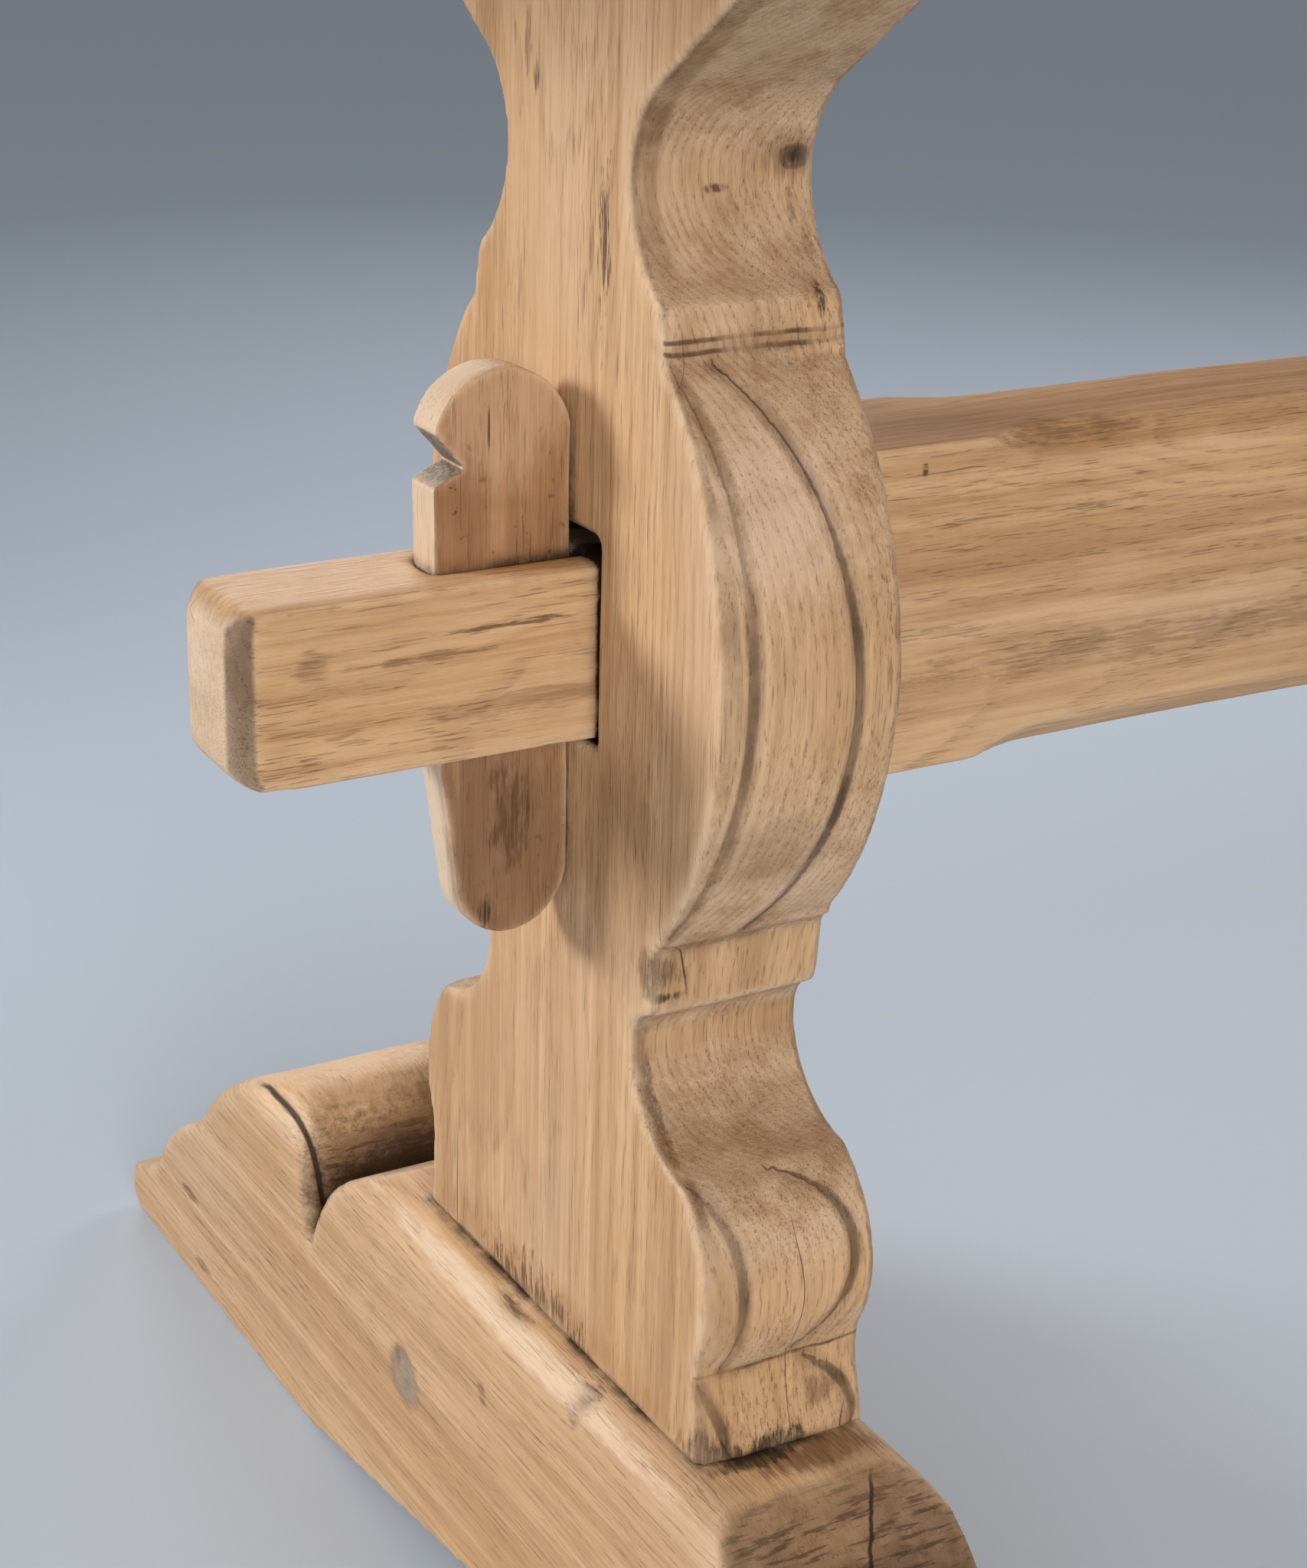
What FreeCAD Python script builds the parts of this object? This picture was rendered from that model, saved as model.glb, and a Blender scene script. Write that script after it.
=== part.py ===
import FreeCAD, Part
import math
import os
import Sketcher

# A knock-down oak trestle table. Two shaped trestles stand on sledge feet and are drawn onto a stretcher
# by a wedge at each end. The plank top lifts off dowels in the head bearers.
# X runs along the table, Y across it and Z up. The origin is on the floor, under the middle of the top.

# Driving dimensions, in millimetres.
SIZES = {
    # the whole table
    "table_length": 2100,
    "table_width": 920,
    "top_thickness": 45,
    "end_overhang": 330,
    "cut_overrun": 5,
    # sledge foot
    "foot_length": 816,
    "foot_height": 150,
    "foot_outer_reveal": 17,
    "foot_inner_reveal": 9,
    "foot_round": 18,
    # shaped post
    "post_thickness": 66,
    "post_width": 215,
    "post_height": 500,
    "outer_facet_width": 10,
    "inner_facet_width": 22,
    # tenons of the post in the foot and in the head bearer
    "post_tenon_thickness": 30,
    "post_tenon_width": 130,
    "foot_tenon_length": 70,
    "head_tenon_length": 45,
    "tenon_clearance": 0.2,
    "tenon_end_gap": 3,
    # pegs that lock those tenons
    "peg_diameter": 12,
    "peg_spacing": 70,
    "peg_cover": 14,
    "peg_clearance": 0.1,
    # head bearer
    "head_length": 780,
    "head_height": 75,
    # stretcher
    "stretcher_height": 117,
    "stretcher_thickness": 66,
    "stretcher_rise": 262,
    "stretcher_chamfer": 10.5,
    "chamfer_stop_distance": 80,
    "chamfer_stop_length": 37,
    "key_tenon_height": 59,
    "key_tenon_thickness": 45,
    "key_tenon_reach": 124,
    "key_tenon_bevel": 7,
    "mortise_side_gap": 3.5,
    "mortise_top_gap": 9,
    "mortise_bottom_gap": 2.5,
    # wedge
    "wedge_width": 49,
    "wedge_length": 192,
    "wedge_thickness": 16,
    "wedge_head_rise": 63,
    "wedge_clearance": 0.3,
    "wedge_slot_inset": 6,
    # plank top
    "board_arris_width": 2,
    "loose_tongue_thickness": 12,
    "loose_tongue_width": 32,
    "breadboard_width": 110,
    "end_tongue_thickness": 15,
    "end_tongue_length": 40,
    "end_tongue_inset": 10,
    "tongue_clearance": 0.2,
    "tongue_end_gap": 1.5,
    "top_peg_diameter": 10,
    # dowels that locate the top
    "dowel_diameter": 22,
    "dowel_hold_length": 40,
    "dowel_reach_length": 24,
    "dowel_clearance": 0.5,
    "dowel_end_gap": 2,
}

BOARD_COUNT = 5
DOWELLED_BOARDS = (1, 3)

# Half outline of the post, from its seat on the foot upwards:
# shares of half its width and of its height.
POST_SHARES = (
    ("corner", 0.981, 0.000),
    ("through", 0.948, 0.030),
    ("corner", 0.930, 0.062),
    ("corner", 0.908, 0.065),
    ("corner", 0.934, 0.068),
    ("through", 1.000, 0.128),
    ("corner", 0.819, 0.198),
    ("through", 0.591, 0.219),
    ("corner", 0.488, 0.260),
    ("corner", 0.490, 0.276),
    ("through", 0.530, 0.291),
    ("corner", 0.598, 0.298),
    ("corner", 0.619, 0.348),
    ("corner", 0.660, 0.353),
    ("through", 0.970, 0.536),
    ("corner", 0.591, 0.732),
    ("corner", 0.570, 0.735),
    ("corner", 0.589, 0.738),
    ("corner", 0.577, 0.751),
    ("corner", 0.556, 0.754),
    ("corner", 0.570, 0.757),
    ("corner", 0.563, 0.762),
    ("through", 0.405, 0.806),
    ("corner", 0.380, 0.838),
    ("through", 0.445, 0.872),
    ("corner", 0.575, 0.896),
    ("corner", 0.986, 0.956),
    ("corner", 0.986, 1.000),
    ("corner", 0.000, 1.000),
    ("corner", 0.000, 0.000),
)

# Carved facets on the post's arrises, over plinth, bulge and belly. Each row gives the bottom, middle
# and top of one facet as shares of half the post's width and of its height, and how far the facet
# reaches in from the arris there, as a share of its named width.
OUTER_FACET_SHARES = (
    ((0.981, 0.000, 1.30), (0.948, 0.032, 0.90), (0.930, 0.060, 0.10)),
    ((0.934, 0.070, 0.80), (1.000, 0.128, 1.40), (0.800, 0.201, 0.10)),
    ((0.660, 0.354, -0.10), (0.970, 0.536, 1.10), (0.598, 0.729, -0.10)),
)
INNER_FACET_SHARES = (
    ((0.981, 0.000, 0.25), (0.948, 0.032, 0.45), (0.930, 0.060, 1.00)),
    ((0.934, 0.070, 0.90), (1.000, 0.128, 0.40), (0.800, 0.201, 1.90)),
    ((0.660, 0.354, 1.30), (0.970, 0.536, 0.75), (0.598, 0.729, 1.80)),
)
# How steeply the facets fall towards the arris.
OUTER_FACET_SLOPE_SHARE = 0.30
INNER_FACET_SLOPE_SHARE = 0.07

# Half outline of the foot, from the middle of its hollowed underside round the toe to the pad
# under the post: shares of half its length and of its height.
FOOT_SHARES = (
    ("corner", 0.000, 0.160),
    ("corner", 0.086, 0.160),
    ("corner", 0.466, 0.000),
    ("corner", 0.973, 0.000),
    ("through", 0.9915, 0.0225),
    ("corner", 1.000, 0.073),
    ("corner", 0.990, 0.153),
    ("corner", 0.912, 0.243),
    ("through", 0.850, 0.447),
    ("corner", 0.772, 0.573),
    ("corner", 0.762, 0.627),
    ("through", 0.642, 0.880),
    ("corner", 0.525, 1.000),
    ("through", 0.480, 0.948),
    ("corner", 0.458, 0.833),
    ("corner", 0.458, 0.633),
    ("corner", 0.449, 0.617),
    ("through", 0.375, 0.897),
    ("corner", 0.305, 1.000),
    ("corner", 0.000, 1.000),
)

# Half outline of the head bearer: shares of half its length and of its height.
HEAD_SHARES = (
    ("corner", 0.000, 0.000),
    ("corner", 0.500, 0.000),
    ("corner", 0.520, 0.080),
    ("through", 0.740, 0.170),
    ("corner", 0.900, 0.520),
    ("corner", 0.960, 0.560),
    ("through", 0.992, 0.650),
    ("corner", 1.000, 0.760),
    ("corner", 1.000, 1.000),
    ("corner", 0.000, 1.000),
)

# Outline of the wedge, from its point upwards: shares of its width, out from the post, and of its length.
WEDGE_SHARES = (
    ("corner", 0.000, 0.115),
    ("through", 0.120, 0.036),
    ("corner", 0.410, 0.000),
    ("through", 0.680, 0.020),
    ("corner", 0.820, 0.075),
    ("corner", 0.968, 0.345),
    ("corner", 1.000, 0.812),
    ("corner", 0.776, 0.839),
    ("corner", 0.990, 0.904),
    ("through", 0.510, 1.000),
    ("corner", 0.000, 0.891),
)

# Curve of a chamfer's stop on the stretcher: shares of the stop's length and of the chamfer's depth.
STOP_SHARES = (0.42, 0.70)

# Heights of the pegs in the two post tenons, as shares of the tenon's length from the shoulder.
FOOT_PEG_SHARE = 0.50
HEAD_PEG_SHARE = 0.48

RIGHT_ANGLE_SHARE = math.sqrt(0.5)
MATCH_SHARE = 1e-6

doc = FreeCAD.newDocument("trestle_table")
sheet = doc.addObject("Spreadsheet::Sheet", "Sizes")
for row, (name, amount) in enumerate(SIZES.items(), start=1):
    sheet.set(f"A{row}", name)
    sheet.set(f"B{row}", str(amount))
    sheet.setAlias(f"B{row}", name)
doc.recompute()


class Size:
    """A length that knows its number, for drawing, and its formula, for binding to the sheet."""

    def __init__(self, value, formula):
        self.value = value
        self.formula = formula

    def __add__(self, other):
        return Size(self.value + other.value, f"({self.formula} + {other.formula})")

    def __sub__(self, other):
        return Size(self.value - other.value, f"({self.formula} - {other.formula})")

    def __mul__(self, share):
        return Size(self.value * share, f"({self.formula} * ({share:.9f}))")

    def __truediv__(self, count):
        return Size(self.value / count, f"({self.formula} / {count})")

    def __neg__(self):
        return self * -1


class Sizes:
    """The sheet's lengths by name."""

    def __getattr__(self, name):
        return Size(float(SIZES[name]), f"Sizes.{name}")


size = Sizes()
ZERO = Size(0.0, "0")

# Sizes that follow from the driving ones. The trestles' outer faces stand back from the table's ends.
trestle_spacing = size.table_length - size.end_overhang * 2
post_top = size.foot_height + size.post_height
top_underside = post_top + size.head_height
foot_thickness = size.foot_outer_reveal + size.post_thickness + size.foot_inner_reveal
stretcher_middle = size.foot_height + size.stretcher_rise
key_tenon_top = stretcher_middle + size.key_tenon_height / 2
key_tenon_bottom = stretcher_middle - size.key_tenon_height / 2
wedge_point = key_tenon_top + size.wedge_head_rise - size.wedge_length
board_length = size.table_length - size.breadboard_width * 2
board_width = size.table_width / BOARD_COUNT
top_peg_line = board_length / 2 + size.end_tongue_length / 2
mortise_thickness = size.post_tenon_thickness + size.tenon_clearance * 2
mortise_width = size.post_tenon_width + size.tenon_clearance * 2
post_middle = size.post_thickness / 2
foot_peg_height = size.foot_height - size.foot_tenon_length * FOOT_PEG_SHARE
head_peg_height = post_top + size.head_tenon_length * HEAD_PEG_SHARE

SIDES = (("left", -1), ("right", 1))
parts = []


def plane(body, role):
    """One of a body's own origin planes."""
    for feature in body.Origin.OriginFeatures:
        if feature.Role == role:
            return feature
    raise LookupError(role)


def new_body(label, side=None):
    """A body in the table's frame, or in a trestle's: x from the post's outer face inwards."""
    body = doc.addObject("PartDesign::Body", label)
    body.Label = label
    if side is not None:
        turn = 0 if side < 0 else 180
        body.Placement = FreeCAD.Placement(FreeCAD.Vector(), FreeCAD.Rotation(FreeCAD.Vector(0, 0, 1), turn))
        body.setExpression("Placement.Base.x", (trestle_spacing * (side / 2)).formula)
    parts.append(body)
    return body


def new_sketch(body, role, shift=None, axis=None, turn=0.0):
    """A sketch on an origin plane, moved along its normal or turned about one of the sketch's axes."""
    sketch = body.newObject("Sketcher::SketchObject", body.Label + "_sketch")
    sketch.AttachmentSupport = [(plane(body, role), "")]
    sketch.MapMode = "FlatFace"
    if axis is not None:
        rotation = FreeCAD.Rotation(axis, turn)
        sketch.AttachmentOffset = FreeCAD.Placement(FreeCAD.Vector(), rotation)
    if shift is not None:
        sketch.setExpression("AttachmentOffset.Base.z", shift.formula)
    return sketch


def vector(point):
    return FreeCAD.Vector(point[0].value, point[1].value, 0)


def pin(sketch, element, position, point):
    """Tie a drawn point to its two lengths from the sketch's origin."""
    for kind, length in (("DistanceX", point[0]), ("DistanceY", point[1])):
        constraint = Sketcher.Constraint(kind, -1, 1, element, position, length.value)
        index = sketch.addConstraint(constraint)
        sketch.setExpression(f"Constraints[{index}]", length.formula)


def turns_left(start, through, end):
    first = vector(through) - vector(start)
    second = vector(end) - vector(through)
    return first.cross(second).z > 0


def draw_outline(sketch, outline):
    """Draw a closed outline of rows (kind, x, y). A row of kind through bends its edge into an arc."""
    corners = [row[1:] for row in outline if row[0] == "corner"]
    bends = {}
    passed = 0
    for row in outline:
        if row[0] == "corner":
            passed += 1
        else:
            bends[passed - 1] = row[1:]
    edges = []
    for index, start in enumerate(corners):
        end = corners[(index + 1) % len(corners)]
        bend = bends.get(index)
        if bend is None:
            element = sketch.addGeometry(Part.LineSegment(vector(start), vector(end)))
            edges.append((element, 1, 2))
            continue
        element = sketch.addGeometry(Part.Arc(vector(start), vector(bend), vector(end)))
        edges.append((element, 1, 2) if turns_left(start, bend, end) else (element, 2, 1))
        mark = sketch.addGeometry(Part.Point(vector(bend)), True)
        sketch.addConstraint(Sketcher.Constraint("PointOnObject", mark, 1, element))
        pin(sketch, mark, 1, bend)
    for index, (element, first, last) in enumerate(edges):
        following, following_first, following_last = edges[(index + 1) % len(edges)]
        sketch.addConstraint(Sketcher.Constraint("Coincident", element, last, following, following_first))
        pin(sketch, element, first, corners[index])


def draw_rectangle(sketch, low, high):
    """Draw a rectangle between two opposite corners."""
    draw_outline(sketch, (
        ("corner", low[0], low[1]),
        ("corner", high[0], low[1]),
        ("corner", high[0], high[1]),
        ("corner", low[0], high[1]),
    ))


def draw_circles(sketch, centres, radius):
    """Draw equal circles about their centres."""
    for centre in centres:
        circle = Part.Circle(vector(centre), FreeCAD.Vector(0, 0, 1), radius.value)
        element = sketch.addGeometry(circle)
        index = sketch.addConstraint(Sketcher.Constraint("Radius", element, radius.value))
        sketch.setExpression(f"Constraints[{index}]", radius.formula)
        pin(sketch, element, 3, centre)


def add_pad(body, sketch, length, symmetric=False):
    """Extrude a sketch into wood."""
    pad = body.newObject("PartDesign::Pad", body.Label + "_pad")
    pad.Profile = sketch
    pad.SideType = "Symmetric" if symmetric else "One side"
    pad.setExpression("Length", length.formula)
    doc.recompute()
    return pad


def add_pocket(body, sketch, length=None, symmetric=False, forwards=False):
    """Cut a sketch out of the wood, right through without a length, and check that it removes some."""
    before = body.Shape.Volume
    pocket = body.newObject("PartDesign::Pocket", body.Label + "_pocket")
    pocket.Profile = sketch
    pocket.SideType = "Symmetric" if symmetric else "One side"
    pocket.Reversed = forwards
    if length is None:
        pocket.Type = "ThroughAll"
    else:
        pocket.setExpression("Length", length.formula)
    doc.recompute()
    if body.Shape.Volume >= before:
        raise RuntimeError(f"a cut in {body.Label} removes nothing")
    return pocket


def bevel_edges(body, edges, width):
    """Bevel some edges of the body's last feature."""
    last = body.Tip
    bevel = body.newObject("PartDesign::Chamfer", body.Label + "_bevel")
    bevel.Base = (last, edges)
    bevel.setExpression("Size", width.formula)
    doc.recompute()


def mirror_across_width(body, feature):
    """Complete a half-width shape with its mirror image across the body's middle plane."""
    mirrored = body.newObject("PartDesign::Mirrored", body.Label + "_mirrored")
    mirrored.Originals = [feature]
    mirrored.MirrorPlane = (plane(body, "XZ_Plane"), [""])
    body.Tip = mirrored
    doc.recompute()


def scaled(shares, width, base, height):
    """Turn an outline of shares into lengths: across from the middle, and up from a base."""
    return [(kind, width * across, base + height * up) for kind, across, up in shares]


def build_foot(side_name, side):
    """Sledge foot: a billet with a pad for the post, a hump, a stepped toe and a hollowed underside."""
    body = new_body(f"{side_name}_foot", side)
    sketch = new_sketch(body, "YZ_Plane", shift=-size.foot_outer_reveal)
    draw_outline(sketch, scaled(FOOT_SHARES, size.foot_length / 2, ZERO, size.foot_height))
    mirror_across_width(body, add_pad(body, sketch, foot_thickness))

    # The two long upper arrises are rounded over.
    outer = -size.foot_outer_reveal
    inner = size.post_thickness + size.foot_inner_reveal
    low = size.foot_height - size.foot_round
    bend = size.foot_round * (1 - RIGHT_ANGLE_SHARE)
    corners = new_sketch(body, "XZ_Plane")
    for face, inward in ((outer, 1), (inner, -1)):
        beyond = face - size.cut_overrun * inward
        draw_outline(corners, (
            ("corner", face, low),
            ("through", face + bend * inward, size.foot_height - bend),
            ("corner", face + size.foot_round * inward, size.foot_height),
            ("corner", face + size.foot_round * inward, size.foot_height + size.cut_overrun),
            ("corner", beyond, size.foot_height + size.cut_overrun),
            ("corner", beyond, low),
        ))
    add_pocket(body, corners, symmetric=True)

    mortise = new_sketch(body, "XY_Plane", shift=size.foot_height)
    draw_rectangle(
        mortise,
        (post_middle - mortise_thickness / 2, -mortise_width / 2),
        (post_middle + mortise_thickness / 2, mortise_width / 2),
    )
    add_pocket(body, mortise, size.foot_tenon_length + size.tenon_end_gap)

    bores = new_sketch(body, "YZ_Plane", shift=inner)
    draw_circles(bores, peg_places(foot_peg_height), size.peg_diameter / 2 + size.peg_clearance)
    add_pocket(body, bores, foot_thickness - size.peg_cover)


def peg_places(height):
    """The two pegs of one post tenon, seen along the table."""
    return ((-size.peg_spacing / 2, height), (size.peg_spacing / 2, height))


def build_post(side_name, side):
    """Shaped post: a baluster plank, tenoned at both ends and mortised for the stretcher."""
    body = new_body(f"{side_name}_post", side)
    sketch = new_sketch(body, "YZ_Plane")
    half_width = size.post_width / 2
    draw_outline(sketch, scaled(POST_SHARES, half_width, size.foot_height, size.post_height))
    mirror_across_width(body, add_pad(body, sketch, size.post_thickness))

    # Facets are carved along the four long arrises. Each sketch is turned to look along its facets.
    outer_tilt = math.atan(OUTER_FACET_SLOPE_SHARE)
    inner_tilt = math.atan(INNER_FACET_SLOPE_SHARE)
    facets = (
        (-1, ZERO, size.outer_facet_width, OUTER_FACET_SHARES, outer_tilt),
        (1, size.post_thickness, size.inner_facet_width, INNER_FACET_SHARES, inner_tilt),
    )
    for edge in (-1, 1):
        for face, arris, facet_width, shares, tilt in facets:
            turn = -edge * face * math.degrees(tilt)
            facet = new_sketch(body, "YZ_Plane", axis=FreeCAD.Vector(0, 1, 0), turn=turn)
            beyond = (half_width * math.cos(tilt) + arris * math.sin(tilt) + size.cut_overrun) * edge
            for rows in shares:
                points = []
                for across, up, opening in rows:
                    inside = (arris * face - facet_width * opening) * math.sin(tilt)
                    reach = half_width * (across * math.cos(tilt)) + inside
                    points.append((reach * edge, size.foot_height + size.post_height * up))
                bottom, middle, top = points
                draw_outline(facet, (
                    ("corner", bottom[0], bottom[1]),
                    ("through", middle[0], middle[1]),
                    ("corner", top[0], top[1]),
                    ("corner", beyond, top[1]),
                    ("corner", beyond, bottom[1]),
                ))
            add_pocket(body, facet, symmetric=True)

    tenons = new_sketch(body, "YZ_Plane", shift=post_middle)
    for start, end in (
        (size.foot_height - size.foot_tenon_length, size.foot_height),
        (post_top, post_top + size.head_tenon_length),
    ):
        draw_rectangle(tenons, (-size.post_tenon_width / 2, start), (size.post_tenon_width / 2, end))
    add_pad(body, tenons, size.post_tenon_thickness, symmetric=True)

    mortise = new_sketch(body, "YZ_Plane")
    half_mortise = size.key_tenon_thickness / 2 + size.mortise_side_gap
    draw_rectangle(
        mortise,
        (-half_mortise, key_tenon_bottom - size.mortise_bottom_gap),
        (half_mortise, key_tenon_top + size.mortise_top_gap),
    )
    add_pocket(body, mortise, forwards=True)

    bores = new_sketch(body, "YZ_Plane")
    places = peg_places(foot_peg_height) + peg_places(head_peg_height)
    draw_circles(bores, places, size.peg_diameter / 2 + size.peg_clearance)
    add_pocket(body, bores, forwards=True)


def build_head(side_name, side):
    """Head bearer: the cross rail on top of the post that carries the table top."""
    body = new_body(f"{side_name}_head_bearer", side)
    sketch = new_sketch(body, "YZ_Plane", shift=-size.foot_outer_reveal)
    draw_outline(sketch, scaled(HEAD_SHARES, size.head_length / 2, post_top, size.head_height))
    mirror_across_width(body, add_pad(body, sketch, foot_thickness))

    mortise = new_sketch(body, "XY_Plane", shift=post_top)
    draw_rectangle(
        mortise,
        (post_middle - mortise_thickness / 2, -mortise_width / 2),
        (post_middle + mortise_thickness / 2, mortise_width / 2),
    )
    add_pocket(body, mortise, size.head_tenon_length + size.tenon_end_gap, forwards=True)

    inner = size.post_thickness + size.foot_inner_reveal
    bores = new_sketch(body, "YZ_Plane", shift=inner)
    draw_circles(bores, peg_places(head_peg_height), size.peg_diameter / 2 + size.peg_clearance)
    add_pocket(body, bores, foot_thickness - size.peg_cover)

    sockets = new_sketch(body, "XY_Plane", shift=top_underside)
    places = [(post_middle, dowel_place(board)) for board in DOWELLED_BOARDS]
    draw_circles(sockets, places, size.dowel_diameter / 2 + size.peg_clearance)
    add_pocket(body, sockets, size.dowel_hold_length)


def board_side(board):
    """The lower-Y edge of a top board, counted from the -Y side."""
    return board_width * board - size.table_width / 2


def dowel_place(board):
    """The middle of a board's width, where its dowels stand."""
    return board_side(board) + board_width / 2


def build_stretcher():
    """Stretcher: a plank between the posts, with a through-tenon at each end, slotted for the wedge."""
    body = new_body("stretcher")
    half_shoulders = trestle_spacing / 2 - size.post_thickness
    half_thickness = size.stretcher_thickness / 2
    bottom = stretcher_middle - size.stretcher_height / 2
    top = stretcher_middle + size.stretcher_height / 2
    plank = new_sketch(body, "YZ_Plane")
    draw_rectangle(plank, (-half_thickness, bottom), (half_thickness, top))
    add_pad(body, plank, half_shoulders * 2, symmetric=True)

    # Stopped chamfers run along the four arrises, in planes at half a right angle.
    cut_start = half_shoulders - size.chamfer_stop_distance
    cut_full = cut_start - size.chamfer_stop_length
    cut_bend = cut_start - size.chamfer_stop_length * STOP_SHARES[0]
    depth = size.stretcher_chamfer * RIGHT_ANGLE_SHARE
    for side, turn in ((-1, 45), (1, -45), (-1, 135), (1, -135)):
        upward = 1 if abs(turn) == 45 else -1
        arris = (half_thickness + (top if upward > 0 else -bottom)) * RIGHT_ANGLE_SHARE
        chamfer = new_sketch(body, "XZ_Plane", axis=FreeCAD.Vector(1, 0, 0), turn=turn)
        draw_outline(chamfer, (
            ("corner", -cut_start, arris),
            ("through", -cut_bend, arris - depth * STOP_SHARES[1]),
            ("corner", -cut_full, arris - depth),
            ("corner", cut_full, arris - depth),
            ("through", cut_bend, arris - depth * STOP_SHARES[1]),
            ("corner", cut_start, arris),
            ("corner", cut_start, arris + size.cut_overrun),
            ("corner", -cut_start, arris + size.cut_overrun),
        ))
        add_pocket(body, chamfer, symmetric=True)

    half_tenon = size.key_tenon_thickness / 2
    tenon = new_sketch(body, "YZ_Plane")
    draw_rectangle(tenon, (-half_tenon, key_tenon_bottom), (half_tenon, key_tenon_top))
    half_reach = trestle_spacing / 2 + size.key_tenon_reach
    add_pad(body, tenon, half_reach * 2, symmetric=True)

    ends = []
    for index, edge in enumerate(body.Shape.Edges, start=1):
        box = edge.BoundBox
        nearest_end = min(abs(box.XMin), abs(box.XMax))
        if half_reach.value - nearest_end < half_reach.value * MATCH_SHARE:
            ends.append(f"Edge{index}")
    bevel_edges(body, ends, size.key_tenon_bevel)

    slots = new_sketch(body, "XZ_Plane")
    slot_inner = trestle_spacing / 2 - size.wedge_slot_inset
    slot_outer = trestle_spacing / 2 + size.wedge_width + size.wedge_clearance * 2
    slot_bottom = key_tenon_bottom - size.cut_overrun
    slot_top = key_tenon_top + size.cut_overrun
    draw_rectangle(slots, (-slot_outer, slot_bottom), (-slot_inner, slot_top))
    draw_rectangle(slots, (slot_inner, slot_bottom), (slot_outer, slot_top))
    add_pocket(body, slots, size.wedge_thickness + size.wedge_clearance * 2, symmetric=True)


def build_wedge(side_name, side):
    """Wedge: a flat key with a domed head, a bird's-mouth notch to knock it out by, and a round point."""
    body = new_body(f"{side_name}_wedge", side)
    sketch = new_sketch(body, "XZ_Plane")
    outline = []
    for kind, across, up in WEDGE_SHARES:
        out = -size.wedge_clearance - size.wedge_width * across
        outline.append((kind, out, wedge_point + size.wedge_length * up))
    draw_outline(sketch, outline)
    add_pad(body, sketch, size.wedge_thickness, symmetric=True)


def build_board(board):
    """Top board: a plank grooved for the loose tongues, with a tongue at each end for the breadboards."""
    body = new_body(f"top_board_{board + 1}")
    low = board_side(board)
    high = low + board_width
    middle = top_underside + size.top_thickness / 2
    surface = top_underside + size.top_thickness
    half_groove = size.loose_tongue_thickness / 2 + size.tongue_clearance
    groove = size.loose_tongue_width / 2 + size.tongue_end_gap
    outline = [("corner", low, top_underside), ("corner", high, top_underside)]
    if board < BOARD_COUNT - 1:
        outline += [
            ("corner", high, middle - half_groove),
            ("corner", high - groove, middle - half_groove),
            ("corner", high - groove, middle + half_groove),
            ("corner", high, middle + half_groove),
        ]
    outline += [
        ("corner", high, surface - size.board_arris_width),
        ("corner", high - size.board_arris_width, surface),
        ("corner", low + size.board_arris_width, surface),
        ("corner", low, surface - size.board_arris_width),
    ]
    if board > 0:
        outline += [
            ("corner", low, middle + half_groove),
            ("corner", low + groove, middle + half_groove),
            ("corner", low + groove, middle - half_groove),
            ("corner", low, middle - half_groove),
        ]
    plank = new_sketch(body, "YZ_Plane")
    draw_outline(plank, outline)
    add_pad(body, plank, board_length, symmetric=True)

    tongue = new_sketch(body, "XY_Plane", shift=middle)
    for end in (-1, 1):
        shoulder = board_length * (end / 2)
        tip = shoulder + size.end_tongue_length * end
        left, right = (shoulder, tip) if end > 0 else (tip, shoulder)
        draw_rectangle(
            tongue,
            (left, low + size.end_tongue_inset),
            (right, high - size.end_tongue_inset),
        )
    add_pad(body, tongue, size.end_tongue_thickness, symmetric=True)

    bores = new_sketch(body, "XY_Plane", shift=middle)
    places = [(top_peg_line * end, dowel_place(board)) for end in (-1, 1)]
    draw_circles(bores, places, size.top_peg_diameter / 2 + size.peg_clearance)
    add_pocket(body, bores, symmetric=True)

    if board in DOWELLED_BOARDS:
        sockets = new_sketch(body, "XY_Plane", shift=top_underside)
        dowel_line = trestle_spacing / 2 - post_middle
        places = [(dowel_line * end, dowel_place(board)) for end in (-1, 1)]
        draw_circles(sockets, places, size.dowel_diameter / 2 + size.dowel_clearance)
        add_pocket(body, sockets, size.dowel_reach_length + size.dowel_end_gap, forwards=True)


def build_breadboard(side_name, side):
    """Breadboard end: a cross plank grooved over the boards' end tongues."""
    body = new_body(f"{side_name}_breadboard_end")
    shoulder = board_length / 2 * side
    outside = size.table_length / 2 * side
    middle = top_underside + size.top_thickness / 2
    surface = top_underside + size.top_thickness
    sketch = new_sketch(body, "XZ_Plane")
    draw_outline(sketch, (
        ("corner", shoulder, top_underside),
        ("corner", outside, top_underside),
        ("corner", outside, surface - size.board_arris_width),
        ("corner", outside - size.board_arris_width * side, surface),
        ("corner", shoulder + size.board_arris_width * side, surface),
        ("corner", shoulder, surface - size.board_arris_width),
    ))
    add_pad(body, sketch, size.table_width, symmetric=True)

    # The groove stops short of the table's edges, so that it does not show there.
    half_groove = size.end_tongue_thickness / 2 + size.tongue_clearance
    half_run = size.table_width / 2 - size.end_tongue_inset + size.tongue_clearance
    groove = new_sketch(body, "YZ_Plane", shift=shoulder)
    draw_rectangle(groove, (-half_run, middle - half_groove), (half_run, middle + half_groove))
    add_pocket(body, groove, size.end_tongue_length + size.tongue_end_gap, forwards=side > 0)

    bores = new_sketch(body, "XY_Plane", shift=middle)
    places = [(top_peg_line * side, dowel_place(board)) for board in range(BOARD_COUNT)]
    draw_circles(bores, places, size.top_peg_diameter / 2 + size.peg_clearance)
    add_pocket(body, bores, symmetric=True)


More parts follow.
